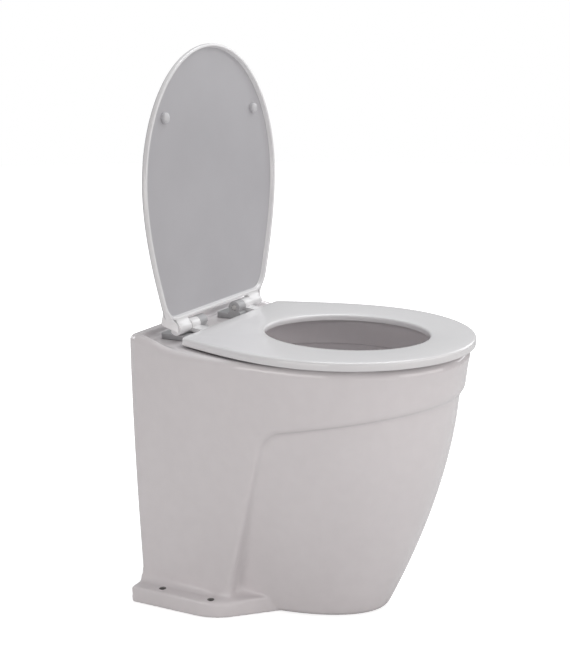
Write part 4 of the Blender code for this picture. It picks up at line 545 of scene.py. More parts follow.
def side_curve(rear, side, share):
    """The wall's half width between its rear corner, at share 0, and its widest line, at share 1."""
    return side - (side - rear) * (1 - share) ** 2


def wall_outline(z, inset):
    rear = rear_half_width(z) - inset
    side = side_half_width(z) - inset
    corner = max(REAR_CORNER - inset, LEAST_CORNER)
    half = [(0, inset), (rear / 3, inset), (rear * 2 / 3, inset)]
    half += arc((rear - corner, inset + corner), corner, -pi / 2, 0, 6)
    for share in SIDE_SHARES:
        half.append((side_curve(rear, side, share), max(WIDEST_D * share, inset + corner * (1 + share))))
    length = CERAMIC_DEPTH - (RIM - z) * FRONT_LEAN - inset - WIDEST_D
    half += [(x, WIDEST_D + r) for x, r in quarter(side, length, RIM_SQUARENESS, OVAL_STEPS)]
    return mirrored(half)


def rim_top(d):
    """The rim's height, raised to a ridge round the deck at the rear."""
    return RIM + RIDGE_HEIGHT * (1 - ease((d - RIDGE_FALL_D) / RIDGE_FALL_RUN))


def outer_body():
    rings = []
    for i in range(WALL_LEVELS + 1):
        z = RIM * WALL_TOP_SHARE * i / WALL_LEVELS
        rings.append([at(x, d, z) for x, d in wall_outline(z, 0)])
    for step in range(EDGE_STEPS + 1):
        angle = pi / 2 * step / EDGE_STEPS
        ring = []
        for x, d in wall_outline(RIM, 0):
            forward = ease((d - WIDEST_D) / (CERAMIC_DEPTH - WIDEST_D))
            radius = REAR_RIM_EDGE + (FRONT_RIM_EDGE - REAR_RIM_EDGE) * forward
            scale = 1 - radius * (1 - cos(angle)) / SIDE_HALF_WIDTH
            z = rim_top(d) - radius * (1 - sin(angle))
            ring.append(at(x * scale, WIDEST_D + (d - WIDEST_D) * scale, z))
        rings.append(ring)
    rings.append([at(x, d, rim_top(d)) for x, d in wall_outline(RIM, RIDGE_TOP_INSET)])
    rings.append([at(x, d, RIM) for x, d in wall_outline(RIM, RIDGE_FOOT_INSET)])
    return loft("ceramic", rings)


# The step that sets the lower bowl back from the rear box: a slant, a bend and a rising line, as (d, z)

SLANT_FOOT_D = 0.1382
SLANT_HEAD = (0.2079, 0.2358)
STEP_START = (0.2692, 0.3006)
STEP_BEND = (0.3636, 0.3165)
STEP_END = (0.451, 0.3315)
STEP_SLOPE = atan((STEP_END[1] - STEP_BEND[1]) / (STEP_END[0] - STEP_BEND[0]))
SLANT_TOP = STEP_START[1] - (STEP_START[0] - SLANT_HEAD[0]) / 6
STEP_BEND_RADIUS = 0.12
SLANT_TOP_RADIUS = 0.04
CUTTER_WIDTH = 0.6

FLANGE_ROUNDNESS = 0.03
WALL_ROUNDNESS = 0.13
ROUNDNESS_Z = 0.03
ROUNDNESS_RUN = 0.02
FILLET_REACH = 0.026
FILLET_FADE = 0.012


def slant_reach(z):
    return SLANT_FOOT_D + (SLANT_HEAD[0] - SLANT_FOOT_D) * z / SLANT_HEAD[1]


def step_distance(point):
    """How far a point lies from the step's edge, seen from the side."""
    here = Vector((REAR_Y - point.y, point.z))
    corners = [Vector((slant_reach(z), z)) for z in (ROUNDNESS_Z, SLANT_TOP)]
    corners += [Vector(STEP_BEND), Vector(STEP_END)]
    gaps = []
    for start, end in zip(corners, corners[1:]):
        run = end - start
        share = min(max((here - start).dot(run) / run.length_squared, 0), 1)
        gaps.append((here - start - run * share).length)
    return min(gaps)


def roundness(point):
    """Wide fillets along the step, small ones elsewhere and the smallest at the flange."""
    rise = ease((point.z - ROUNDNESS_Z) / ROUNDNESS_RUN)
    base = FLANGE_ROUNDNESS + (WALL_ROUNDNESS - FLANGE_ROUNDNESS) * rise
    return base + (1 - base) * ease((FILLET_REACH - step_distance(point)) / FILLET_FADE)


def front_cutter():
    points = [(slant_reach(-OVERRUN), -OVERRUN), (STEP_END[0], -OVERRUN), STEP_END, STEP_BEND,
              (slant_reach(SLANT_TOP), SLANT_TOP)]
    outline = rounded(points, [0, 0, 0, STEP_BEND_RADIUS, SLANT_TOP_RADIUS], 24)
    place = Matrix(((0, 0, 1, 0), (-1, 0, 0, REAR_Y), (0, 1, 0, 0), (0, 0, 0, 1)))
    return plate("front_cutter", outline, CUTTER_WIDTH, place)


# The lower bowl, from its foot at share 0 to its top at share 1

BOWL_HEIGHT = 0.34
BOWL_HALF_WIDTH = 0.0895
BOWL_WIDENING = 0.0745
BOWL_FRONT_D = 0.333
BOWL_LENGTHENING = 0.0955
BOWL_CENTRE_D = 0.16
BOWL_CENTRE_SHIFT = 0.04
BOWL_REAR_D = 0.11
BOWL_LEVELS = 40
FOOT_EDGE = 0.004
FOOT_EDGE_HEIGHT = 0.008
FOOT_INSET = 0.0056


def bowl_outline(share, inset):
    squareness = 2.0 + 0.08 * min(1, 1.6 * share)
    width = BOWL_HALF_WIDTH + BOWL_WIDENING * (1 - (1 - share) ** 1.43) - inset
    reach = BOWL_FRONT_D + BOWL_LENGTHENING * (1 - (1 - share) ** 1.72) - inset
    centre = BOWL_CENTRE_D + BOWL_CENTRE_SHIFT * share
    half = [(0, BOWL_REAR_D), (width * 0.6, BOWL_REAR_D), (width * 0.97, BOWL_REAR_D),
            (width, (BOWL_REAR_D + centre) / 2)]
    half += [(x, centre + r) for x, r in quarter(width, reach - centre, squareness, OVAL_STEPS)]
    return mirrored(half)


def lower_bowl(inset, top_share=1.0):
    """The bowl's outside, or with an inset the hollow inside it, which starts below the floor."""
    if inset:
        rings = [[at(x, d, -OVERRUN) for x, d in bowl_outline(0, inset)]]
    else:
        rings = [[at(x, d, 0) for x, d in bowl_outline(0, FOOT_INSET)]]
    for i in range(1, BOWL_LEVELS + 1):
        share = (i / BOWL_LEVELS) ** 1.3
        if share > top_share:
            break
        z = BOWL_HEIGHT * share
        edge = FOOT_EDGE * max(0, 1 - z / FOOT_EDGE_HEIGHT) ** 2
        rings.append([at(x, d, z) for x, d in bowl_outline(share, inset + edge)])
    return loft("lower_bowl", rings)


# The floor flange, with rounded edges and a fillet up to the wall

FLANGE_HEIGHT = 0.0245
FLANGE_REAR_HALF = 0.1565
FLANGE_FRONT_HALF = 0.154
FLANGE_DIAGONAL = 0.2895
FLANGE_NOSE_HALF = 0.06
FLANGE_CORNER = 0.07
FLANGE_LOW_EDGE = 0.003
FLANGE_HIGH_EDGE = 0.0022
FLANGE_FILLET = ((0.0195, 0.0248), (0.022, 0.026), (0.0245, 0.029), (0.0268, 0.035), (0.0285, 0.042))


def flange_outline(inset):
    rear = FLANGE_REAR_HALF - inset
    front = FLANGE_FRONT_HALF - inset
    total = FLANGE_DIAGONAL - inset * sqrt(2)
    points = [(0, 0), (rear, 0), (front, total - front), (FLANGE_NOSE_HALF, total - FLANGE_NOSE_HALF),
              (0, total - FLANGE_NOSE_HALF)]
    return mirrored(rounded(points, [0, 0, FLANGE_CORNER, 0, 0], 20))


def floor_flange():
    low, high = FLANGE_LOW_EDGE, FLANGE_HIGH_EDGE
    turn = (0, 0.5, 1.0, 1.57)
    levels = [(low * (1 - sin(a)), low * (1 - cos(a))) for a in turn]
    levels += [(high * (1 - cos(a)), FLANGE_HEIGHT - high + high * sin(a)) for a in turn]
    levels += FLANGE_FILLET
    return loft("flange", [[at(x, d, z) for x, d in flange_outline(inset)] for inset, z in levels])


# The basin. Its size falls with its level from the rim; the first and last point only steer the curve.

BASIN_LEVELS = (-0.1, 0.0, 0.13, 0.33, 0.55, 0.76, 0.9, 1.05)
BASIN_SIZE_SHARES = (1.02, 1.0, 0.98, 0.91, 0.775, 0.57, 0.37, 0.17)
BASIN_FOOT_LEVEL = 0.9
BASIN_STEPS = 24
BASIN_HALF = (0.141, 0.156)
BASIN_D = 0.25
BASIN_TOP_Z = 0.348
BASIN_FOOT_Z = 0.178
MOUTH_HALF = (0.134, 0.15)
MOUTH_EDGE = 0.008
MOUTH_FOOT_Z = 0.3485
OUTLET_D = 0.205
OUTLET_HALF = (0.0235, 0.0235)
OUTLET_LOW_Z = 0.15
BOSS_HALF = (0.045, 0.045)
BOSS_TOP_Z = 0.173
BOSS_FOOT_Z = 0.1615
BASIN_WALL = 0.01
OVAL_SIDES = 128


def basin_size(level):
    """The basin's size at a level as a share of its size at the rim, on a smooth curve through the points."""
    a = 1
    while level > BASIN_LEVELS[a + 1] + 1e-9:
        a += 1
    l0, l1, l2, l3 = BASIN_LEVELS[a - 1:a + 3]
    s0, s1, s2, s3 = BASIN_SIZE_SHARES[a - 1:a + 3]
    t = (level - l1) / (l2 - l1)
    first = (s2 - s0) / (l2 - l0) * (l2 - l1)
    last = (s3 - s1) / (l3 - l1) * (l2 - l1)
    return ((2 * t ** 3 - 3 * t ** 2 + 1) * s1 + (t ** 3 - 2 * t ** 2 + t) * first
            + (-2 * t ** 3 + 3 * t ** 2) * s2 + (t ** 3 - t ** 2) * last)


def oval_ring(half, d, z, grow=0, size=1):
    """A level ring from its half width and half length, scaled by a size and then grown."""
    width, length = half[0] * size + grow, half[1] * size + grow
    turns = [2 * pi * i / OVAL_SIDES for i in range(OVAL_SIDES)]
    return [at(width * sin(turn), d + length * cos(turn), z) for turn in turns]


def basin_rings(grow):
    rings = []
    for i in range(BASIN_STEPS + 1):
        level = BASIN_FOOT_LEVEL * i / BASIN_STEPS
        d = BASIN_D - (BASIN_D - OUTLET_D) * level ** 2
        z = BASIN_TOP_Z + (BASIN_FOOT_Z - BASIN_TOP_Z) * level
        rings.append(oval_ring(BASIN_HALF, d, z, grow, basin_size(level)))
    return rings


def basin_cutter():
    rings = [oval_ring(MOUTH_HALF, BASIN_D, RIM + RIDGE_HEIGHT, MOUTH_EDGE)]
    for step in range(EDGE_STEPS + 1):
        angle = pi / 2 * step / EDGE_STEPS
        z = RIM - MOUTH_EDGE * (1 - cos(angle))
        rings.append(oval_ring(MOUTH_HALF, BASIN_D, z, MOUTH_EDGE * (1 - sin(angle))))
    rings.append(oval_ring(MOUTH_HALF, BASIN_D, MOUTH_FOOT_Z))
    rings += basin_rings(0)
    rings += [oval_ring(OUTLET_HALF, OUTLET_D, z) for z in (BASIN_FOOT_Z, OUTLET_LOW_Z)]
    return loft("basin", rings)


def basin_body():
    """The basin's outside, as it shows in the open rear."""
    rings = [oval_ring(BASIN_HALF, BASIN_D, RIM - 0.006, BASIN_WALL)] + basin_rings(BASIN_WALL)
    rings += [oval_ring(BOSS_HALF, OUTLET_D, z) for z in (BOSS_TOP_Z, BOSS_FOOT_Z)]
    return loft("basin_body", rings)


# The service cavity, open at the rear and at the floor

WALL = 0.012
BOWL_WALL = 0.0085
BOWL_HOLLOW_SHARE = 0.9
FLANGE_BREADTH = 0.024
CAVITY_FOOT_Z = 0.0248
CAVITY_TOP_Z = 0.374
CAVITY_SIDE_STEPS = 20


def service_cavity():
    levels = [(-OVERRUN, FLANGE_BREADTH), (FLANGE_HEIGHT, FLANGE_BREADTH), (CAVITY_FOOT_Z, 0)]
    levels += [(CAVITY_FOOT_Z + (SLANT_HEAD[1] - CAVITY_FOOT_Z) * i / 8, 0) for i in range(1, 9)]
    levels += [(SLANT_HEAD[1] + (CAVITY_TOP_Z - SLANT_HEAD[1]) * i / 6, 0) for i in range(1, 7)]
    rings = []
    for z, extra in levels:
        front = slant_reach(min(max(z, 0), SLANT_HEAD[1])) - WALL
        wall = max(z, FLANGE_HEIGHT)
        rear = rear_half_width(wall) - WALL - extra
        side = side_half_width(wall) - WALL - extra
        half = [(0, -OVERRUN), (rear, -OVERRUN), (rear, 0)]
        for i in range(1, CAVITY_SIDE_STEPS + 1):
            share = i / CAVITY_SIDE_STEPS * front / WIDEST_D
            half.append((side_curve(rear, side, min(1, share)), front * i / CAVITY_SIDE_STEPS))
        half.append((0, front))
        rings.append([at(x, d, z) for x, d in mirrored(half)])
    cavity = loft("cavity", rings)
    join(cavity, lower_bowl(BOWL_WALL, BOWL_HOLLOW_SHARE))
    return cut(cavity, basin_body())


# Holes, and the places of what goes through them

FLANGE_HOLES = ((0.142, 0.044), (0.142, 0.125))
FLANGE_HOLE_RADIUS = 0.00425
FLANGE_HOLE_MOUTH = 0.0064
STUD_PLACE = (0.0775, 0.052)
STUD_HOLE_RADIUS = 0.007
CRADLE_SCREW_PLACE = (0.0985, 0.079)
SUMP_BOLT_CIRCLE = 0.0375
NOZZLE_Z = 0.33
NOZZLE_D = 0.0935
HOLE_SIDES = 24


def small_holes():
    flange_profile = [(0, 0.045), (FLANGE_HOLE_MOUTH, 0.045), (FLANGE_HOLE_MOUTH, 0.0262), (0.0048, 0.0243),
                      (FLANGE_HOLE_RADIUS, 0.022), (FLANGE_HOLE_RADIUS, -OVERRUN), (0, -OVERRUN)]
    holes = []
    for side in (-1, 1):
        for x, d in FLANGE_HOLES:
            holes.append(turned("hole", flange_profile, at(side * x, d, 0), (0, 0, 1)))
        x, d = STUD_PLACE
        holes.append(rod("hole", STUD_HOLE_RADIUS, at(side * x, d, 0.36), at(side * x, d, 0.4)))
        x, d = CRADLE_SCREW_PLACE
        holes.append(rod("hole", 0.0019, at(side * x, d, 0.018), at(side * x, d, 0.03), HOLE_SIDES))
    for angle in DIAGONALS:
        x, d = SUMP_BOLT_CIRCLE * cos(angle), OUTLET_D + SUMP_BOLT_CIRCLE * sin(angle)
        holes.append(rod("hole", 0.0031, at(x, d, 0.15), at(x, d, 0.1708), HOLE_SIDES))
    nozzle = [(0, 0.012), (0.0105, 0.012), (0.0105, 0), (0.0076, 0), (0.0076, -0.009), (0.013, -0.009),
              (0.013, -0.021), (0, -0.021)]
    holes.append(turned("hole", nozzle, at(0, NOZZLE_D, NOZZLE_Z), (0, -1, 0)))
    return together("holes", holes)


def in_flange_hole(face):
    middle = face.center
    if middle.z > 0.0254 or abs(face.normal.z) > 0.8:
        return False
    return any((middle.xy - at(side * x, d, 0).xy).length < FLANGE_HOLE_MOUTH + 0.0002
               for x, d in FLANGE_HOLES for side in (-1, 1))


SKIN_VOXEL = 0.0019
STEP_FILLET = 0.0115


def ceramic():
    body = outer_body()
    cut(body, front_cutter())
    join(body, lower_bowl(0))
    join(body, floor_flange())
    cut(body, service_cavity())
    cut(body, basin_cutter())
    melted(body, SKIN_VOXEL, STEP_SLOPE, roundness, STEP_FILLET)
    cut(body, small_holes())
    shade(body.data, 45)
    body.name = "ceramic_glazed"
    dress(body, "glazed_ceramic", "toilet_base", "ceramic_bowl")
    # The bolt holes' inner faces take a dark grey that is painted shade.
    second_finish(body, "bore_painted_shade", in_flange_hole)


# Seat and lid, drawn by the side offset x and the reach r in front of the hinge axis

SEAT_HALF_WIDTH = 0.18
SEAT_REACH = 0.388
BROADEST_R = 0.197
SEAT_START_R = 0.022
SEAT_REAR_HALF = 0.1385
SEAT_REAR_CORNER = 0.006
LID_START_R = 0.0125
LID_REAR_HALF = 0.1357
OPENING_R = 0.208
OPENING_HALF_WIDTH = 0.103
OPENING_HALF_LENGTH = 0.118
BARREL_RADIUS = 0.0095
SEAT_EAR_X = (0.0653, 0.087)
LID_EAR_X = (0.0873, 0.1168)


def hinge_frame(angle):
    """The frame of seat or lid at an angle: x to the side, y away from the hinge, z up."""
    flip = Matrix(((1, 0, 0, 0), (0, -1, 0, 0), (0, 0, 1, 0), (0, 0, 0, 1)))
    return Matrix.Translation(HINGE) @ Matrix.Rotation(-angle, 4, "X") @ flip


def side_place(rear, width, begin, share):
    run = BROADEST_R - begin
    return (rear + (width - rear) * ease(share) + 0.37 * run * share * (1 - share) ** 2, begin + run * share)


def egg_outline(inset, start, rear, corner):
    """The outline of seat or lid, from the middle of its rear edge round to its front."""
    width = SEAT_HALF_WIDTH - inset
    begin = start + inset
    rear -= inset
    first = corner / (BROADEST_R - begin)
    half = [((rear - corner) * i / 12, begin) for i in range(13)]
    end = side_place(rear, width, begin, first)
    for i in range(1, 12):
        t = i / 12
        half.append((half[12][0] * (1 - t) ** 2 + 2 * rear * t * (1 - t) + end[0] * t * t,
                     begin + (end[1] - begin) * t * t))
    half += [side_place(rear, width, begin, first + (1 - first) * i / 40) for i in range(40)]
    half += [(x, BROADEST_R + r) for x, r in quarter(width, SEAT_REACH - BROADEST_R - inset, 2, 48)]
    return mirrored(half)


def seat_outline(inset):
    return egg_outline(inset, SEAT_START_R, SEAT_REAR_HALF, SEAT_REAR_CORNER)


def lid_outline(inset, corner):
    return egg_outline(inset, LID_START_R, LID_REAR_HALF, corner)


def matched_opening(grow, outer):
    """The seat's opening, with one point in the direction of each point of the outer outline."""
    ring = []
    for x, reach in outer:
        angle = atan2(x / SEAT_HALF_WIDTH, (OPENING_R - reach) / BROADEST_R)
        ring.append(((OPENING_HALF_WIDTH + grow) * sin(angle),
                     OPENING_R - (OPENING_HALF_LENGTH + grow) * cos(angle)))
    return ring


def seat_shell(place):
    """A ring that is hollow below: each section is (outer inset, opening's growth, share inward, height)."""
    top, low, skin, edge, crown = -0.0028, -0.0153, 0.0038, 0.0035, 0.001
    ceiling = top - crown - skin
    inner_low = low + 0.003
    turn = (0, 0.25, 0.5, 0.75, 1.0, 1.25, 1.5)
    sections = [(edge * 0.35, 0, 0, low), (edge * 0.1, 0, 0, low + edge * 0.12), (0, 0, 0, low + edge * 0.4)]
    sections += [(edge * (1 - cos(a)), 0, 0, top - crown - edge + edge * sin(a)) for a in turn]
    across = (0.12, 0.25, 0.38, 0.5, 0.62, 0.75, 0.86)
    sections += [(0, 0, s, top - crown * (2 * s - 1) ** 2) for s in across]
    sections += [(0, edge * (1 - cos(a)), 1, top - crown - edge + edge * sin(a))
                 for a in reversed(turn)]
    sections += [(0, 0, 1, inner_low + edge * 0.3), (0, skin * 0.2, 1, inner_low),
                 (0, skin * 0.8, 1, inner_low), (0, skin, 1, inner_low + 0.0008),
                 (0, skin * 1.2, 1, ceiling - 0.0012), (0, skin * 1.5, 1, ceiling),
                 (skin * 1.5, 0, 0, ceiling), (skin * 1.15, 0, 0, ceiling - 0.0012),
                 (skin, 0, 0, low + edge * 0.3), (skin * 0.85, 0, 0, low)]
    base = seat_outline(0)
    rings = []
    for outer_inset, grow, share, height in sections:
        outer = seat_outline(outer_inset)
        inner = matched_opening(grow, base)
        rings.append([place @ Vector((x0 + (x1 - x0) * share, r0 + (r1 - r0) * share, height))
                      for (x0, r0), (x1, r1) in zip(outer, inner)])
    return loft("seat_shell", rings, closed=True, sharp=60)


def ear(name, inner_x, outer_x, outline, place, edge):
    """A slice of the hinge from one side offset to another, with an outline across the axis."""
    turn = Matrix(((0, 0, 1, (inner_x + outer_x) / 2), (1, 0, 0, 0), (0, 1, 0, 0), (0, 0, 0, 1)))
    return plate(name, outline, outer_x - inner_x, place @ turn, edge)


def both_ears(name, ear_x, outline, place, edge):
    ears = []
    for side in (-1, 1):
        inner_x, outer_x = sorted(side * x for x in ear_x)
        ears.append(ear(name, inner_x, outer_x, outline, place, edge))
    return ears


def seat():
    place = hinge_frame(0)
    outline = arc((0, 0), BARREL_RADIUS, radians(-16), radians(304), 40)
    outline += [(0.022, -0.01128), (0.0296, -0.0118), (0.0296, -0.0038), (0.022, -0.0038)]
    pieces = [seat_shell(place)] + both_ears("seat_ear", SEAT_EAR_X, outline, place, 0.001)
    whole = together("seat_ring_smooth", pieces)
    shade(whole.data, 50)
    dress(whole, "seat_plastic", "seat", "seat_ring")
    # The seat's down-facing inner faces take the satin whose darker grey is painted shade.
    second_finish(whole, "satin_painted_shade",
                  lambda face: face.normal.z < -0.7 and face.center.y < HINGE.y - 0.02)


def lid_shell(place):
    """A shallow dish: its panel, then (inset, height) levels over the lip and up the side, then its crown."""
    low, top, lip, crown, recess = -0.0018, 0.007, 0.0045, 0.003, 0.0062
    levels = [(lip * 1.45, low + recess), (lip * 1.22, low + recess - 0.0006),
              (lip * 1.1, low + recess - 0.0018), (lip * 0.92, low + 0.0007), (lip * 0.82, low + 0.0001),
              (lip * 0.7, low), (lip * 0.22, low), (lip * 0.07, low + 0.0003), (0, low + 0.001),
              (0, low + 0.0048)]
    levels += [(lip * (1 - cos(a)), low + 0.0048 + 0.0037 * sin(a))
               for a in (0.2, 0.4, 0.6, 0.8, 1.0, 1.2, 1.4)]

    def ring(inset, shrink, height):
        corner = 0.028 - inset - 0.015 * ease((height - low - recess) / (top - low - recess))
        return [place @ Vector((x * (1 - shrink), BROADEST_R + (r - BROADEST_R) * (1 - shrink), height))
                for x, r in lid_outline(inset, corner)]

    rings = [ring(lip * 1.6, shrink, low + recess) for shrink in (0.97, 0.8, 0.6, 0.4, 0.2, 0.08, 0.0)]
    rings += [ring(inset, 0.0, height) for inset, height in levels]
    for shrink in (0.01, 0.04, 0.09, 0.16, 0.26, 0.38, 0.52, 0.68, 0.84, 0.97):
        rings.append(ring(lip, shrink, top - 0.0003 + crown * (1 - (1 - shrink) ** 2)))
    return loft("lid_shell", rings, sharp=60)


# The front and rear edge of a cheek from its top to its point, as (side, behind, up) from the hinge axis

CHEEK_ROWS = (
    ((0.1395, -0.0012, 0.031), (0.1415, 0.0045, 0.033)),
    ((0.1345, -0.0014, 0.024), (0.139, 0.0065, 0.025)),
    ((0.1258, -0.0024, 0.015), (0.1372, 0.009, 0.016)),
    ((0.1202, -0.0042, 0.0085), (0.1362, 0.0105, 0.0092)),
    ((0.118, -0.0053, 0.003), (0.1312, 0.006, 0.005)),
    ((0.118, -0.006, -0.002), (0.1263, 0.001, 0.0009)),
    ((0.119, -0.0062, -0.0043), (0.1209, -0.004, -0.0036)),
)
CHEEK_THICKNESS = 0.0036
CHEEK_VOXEL = 0.0006


def lid_cheek(side):
    """The pointed cheek that a side wall of the lid ends in."""
    rings = []
    for front, rear in CHEEK_ROWS:
        front, rear = Vector(front), Vector(rear)
        across = rear - front
        inward = Vector((-across.y, across.x, 0)).normalized() * CHEEK_THICKNESS
        crown = -inward * 0.3
        outer = [front + across * s + crown * (4 * s * (1 - s)) for s in (0, 0.2, 0.4, 0.6, 0.8, 1)]
        ring = outer + [rear + inward * 0.9, (front + rear) / 2 + inward, front + inward * 0.9]
        rings.append([HINGE + Vector((side * point.x, point.y, point.z)) for point in ring])
    cheek = loft("lid_cheek", rings)
    voxel_skin(cheek, CHEEK_VOXEL)
    return smoothed(cheek, 7)


def lid():
    place = hinge_frame(LID_ANGLE)
    back = place.inverted()
    panel_height = 0.0044

    def on_panel(face):
        middle = back @ face.center
        return abs(middle.z - panel_height) < 0.0005 and middle.y > 0.018

    outline = arc((0, 0), 0.0088, radians(118), radians(318), 40)
    outline += [(0.0092, -0.0036), (0.0118, -0.0019), (0.0161, -0.0016), (0.0161, 0.0052), (0.0125, 0.0052)]
    pieces = [lid_shell(place), lid_cheek(-1), lid_cheek(1)]
    pieces += both_ears("lid_ear", LID_EAR_X, outline, place, 0.0012)
    whole = together("lid_smooth", pieces)
    shade(whole.data, 50)
    dress(whole, "seat_plastic", "lid", "lid_cover")
    # The lid's recessed panel takes the satin whose darker grey is painted shade.
    second_finish(whole, "satin_painted_shade", on_panel)


# Small pieces in their full shape

PAD_HALF_LENGTH = 0.0115
PAD_RADIUS = 0.0065
PAD_HEIGHT = 0.0093
PAD_EDGE = 0.0028
PAD_TURNS = (("front", radians(38)), ("rear", radians(-10)))
BUFFER_RADIUS = 0.0075
BUFFER_PLACE = (0.1215, 0.292, 0.0041)
BUFFER_PROFILE = ((0, 0), (1, 0), (1, 0.0024), (0.985, 0.0034), (0.94, 0.0043), (0.85, 0.0052),
                  (0.7, 0.0059), (0.5, 0.0063), (0.25, 0.00655), (0, 0.0066))


def middle_of(node):
    low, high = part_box(node)
    return (Vector(low) + Vector(high)) / 2


def seat_pads():
    """Long pads under the seat, rounded all along."""
    outline = arc((PAD_HALF_LENGTH, 0), PAD_RADIUS, -pi / 2, pi / 2, 24)
    outline += arc((-PAD_HALF_LENGTH, 0), PAD_RADIUS, pi / 2, 3 * pi / 2, 24)
    for label, side in SIDES:
        for spot, turn in PAD_TURNS:
            node = "seat_%s_buffer_%s" % (spot, label)
            middle = middle_of(node)
            lie = Matrix.Translation((middle.x, HINGE.y - middle.y, middle.z - HINGE.z))
            lie = hinge_frame(0) @ lie @ Matrix.Rotation(pi / 2 + side * turn, 4, "Z")
            pad = plate("pad_%s_%s" % (spot, label), outline, PAD_HEIGHT, lie, PAD_EDGE, 5)
            dress(pad, "white_plastic", "seat", node, finish="buffer_rubber")


def lid_buffers():
    """Round buffers with domed ends, standing on the lid's panel."""
    place = hinge_frame(LID_ANGLE)
    x, reach, height = BUFFER_PLACE
    profile = [(BUFFER_RADIUS * share, up) for share, up in BUFFER_PROFILE]
    outward = place.to_3x3() @ Vector((0, 0, -1))
    for label, side in SIDES:
        foot = place @ Vector((side * x, reach, height))
        buffer = turned("buffer_" + label, profile, foot, outward, sharp=60)
        dress(buffer, "white_plastic", "lid", "lid_buffer_" + label, finish="buffer_rubber")


POST_X = (0.0455, 0.1095)
POST_D = (0.0275, 0.0745)
POST_CORNER = 0.006
FOOT_HEIGHT = 0.0072
UPRIGHT_X = (0.0459, 0.065)
UPRIGHT_HALF_WIDTH = 0.0096
UPRIGHT_FOOT_HALF = 0.0124
UPRIGHT_SHOULDER = 0.006
PIN_BORE_RADIUS = 0.0045
STUD_SOCKET_RADIUS = 0.0043


def hinge_posts():
    """Moulded posts: a foot with rounded edges and a shouldered upright, bored for the damper."""
    foot_middle = RIM + TOUCH_GAP + FOOT_HEIGHT / 2
    drop = foot_middle - HINGE.z
    shoulders = [(-UPRIGHT_HALF_WIDTH, -UPRIGHT_SHOULDER), (-UPRIGHT_FOOT_HALF, drop),
                 (UPRIGHT_FOOT_HALF, drop), (UPRIGHT_HALF_WIDTH, -UPRIGHT_SHOULDER)]
    upright = arc((0, 0), BARREL_RADIUS, 0, pi, 40) + rounded(shoulders, [0.004, 0, 0, 0.004], 4)
    stud_x, stud_d = STUD_PLACE
    for label, side in SIDES:
        near, far = sorted(side * x for x in POST_X)
        corners = [(near, POST_D[0]), (far, POST_D[0]), (far, POST_D[1]), (near, POST_D[1])]
        flat = [(x, REAR_Y - d) for x, d in rounded(corners, [POST_CORNER] * 4)]
        foot = plate("foot", flat, FOOT_HEIGHT, Matrix.Translation((0, 0, foot_middle)), 0.0016, 4)
        inner_x, outer_x = sorted(side * x for x in UPRIGHT_X)
        post = join(foot, ear("upright", inner_x, outer_x, upright, hinge_frame(0), 0.0008))
        cut(post, rod("bore", PIN_BORE_RADIUS, HINGE + Vector((side * 0.04, 0, 0)),
                      HINGE + Vector((side * 0.0657, 0, 0))))
        cut(post, rod("socket", STUD_SOCKET_RADIUS, at(side * stud_x, stud_d, RIM - 0.002),
                      at(side * stud_x, stud_d, RIM + 0.006)))
        post.name = "post_" + label
        shade(post.data, 40)
        dress(post, "hinge_plastic", "toilet_base", "hinge_post_" + label)


STUD_RADIUS = 0.004
THREAD_DEPTH = 0.0005
THREAD_PITCH = 0.00125


def stud_profile(low, high):
    """A rod whose side carries thread ridges between two chamfered ends."""
    radius, depth, pitch = STUD_RADIUS, THREAD_DEPTH, THREAD_PITCH
    root, point = radius - depth, radius - 2 * depth
    profile = [(0, low), (point, low), (root, low + depth)]
    start = low + 2 * depth
    for i in range(int((high - low - 4 * depth) / pitch)):
        profile += [(root, start + i * pitch), (radius, start + (i + 0.35) * pitch),
                    (radius, start + (i + 0.5) * pitch), (root, start + (i + 0.85) * pitch)]
    return profile + [(root, high - depth), (point, high), (0, high)]


def hinge_studs():
    for label, _ in SIDES:
        node = "hinge_stud_" + label
        low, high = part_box(node)
        middle = middle_of(node)
        profile = stud_profile(low[2], high[2])
        stud = turned("stud_" + label, profile, (middle.x, middle.y, 0), (0, 0, 1), 32, 30)
        dress(stud, "stainless", "toilet_base", node)


COVER_CENTRE_Z = 0.088
COVER_SCREW_CIRCLE = 0.0485
DISCHARGE_SCREW_CIRCLE = 0.0243
COVER_SCREW_SEAT = 0.0048
DISCHARGE_FLANGE = 0.0045
BRACKET_SCREW_SEAT = 0.0018
VALVE_X = -0.0895
BRACKET_SCREW_X = 0.009


def screw(seat, direction, radius):
    """A pan-head screw with a cross recess, its head standing on a face."""
    tall = radius * 0.62
    profile = [(0, -0.0006), (radius * 0.6, -0.0006), (radius, 0.0002), (radius, tall * 0.35),
               (radius * 0.93, tall * 0.66), (radius * 0.74, tall * 0.88), (radius * 0.4, tall * 0.98),
               (0, tall)]
    head = turned("screw", profile, (0, 0, 0), (0, 0, 1), 40, 40)
    size = Matrix.Diagonal((radius * 1.1, radius * 0.2, tall, 1))
    for turn in (0, pi / 2):
        bm = bmesh.new()
        bmesh.ops.create_cube(bm, size=1.0)
        place = Matrix.Rotation(turn, 4, "Z") @ Matrix.Translation((0, 0, tall)) @ size
        cut(head, from_bm("slot", bm, place=place))
    head.matrix_world = placed(direction, seat)
    return baked(head)


def screw_circle(name, centre, circle, direction, radius):
    """Four screws round a centre, at 45 degrees to the axes."""
    seats = [centre + Vector((circle * cos(angle), 0, circle * sin(angle))) for angle in DIAGONALS]
    heads = [screw(seat, direction, radius) for seat in seats]
    dress(together(name, heads), "stainless", "toilet_base")


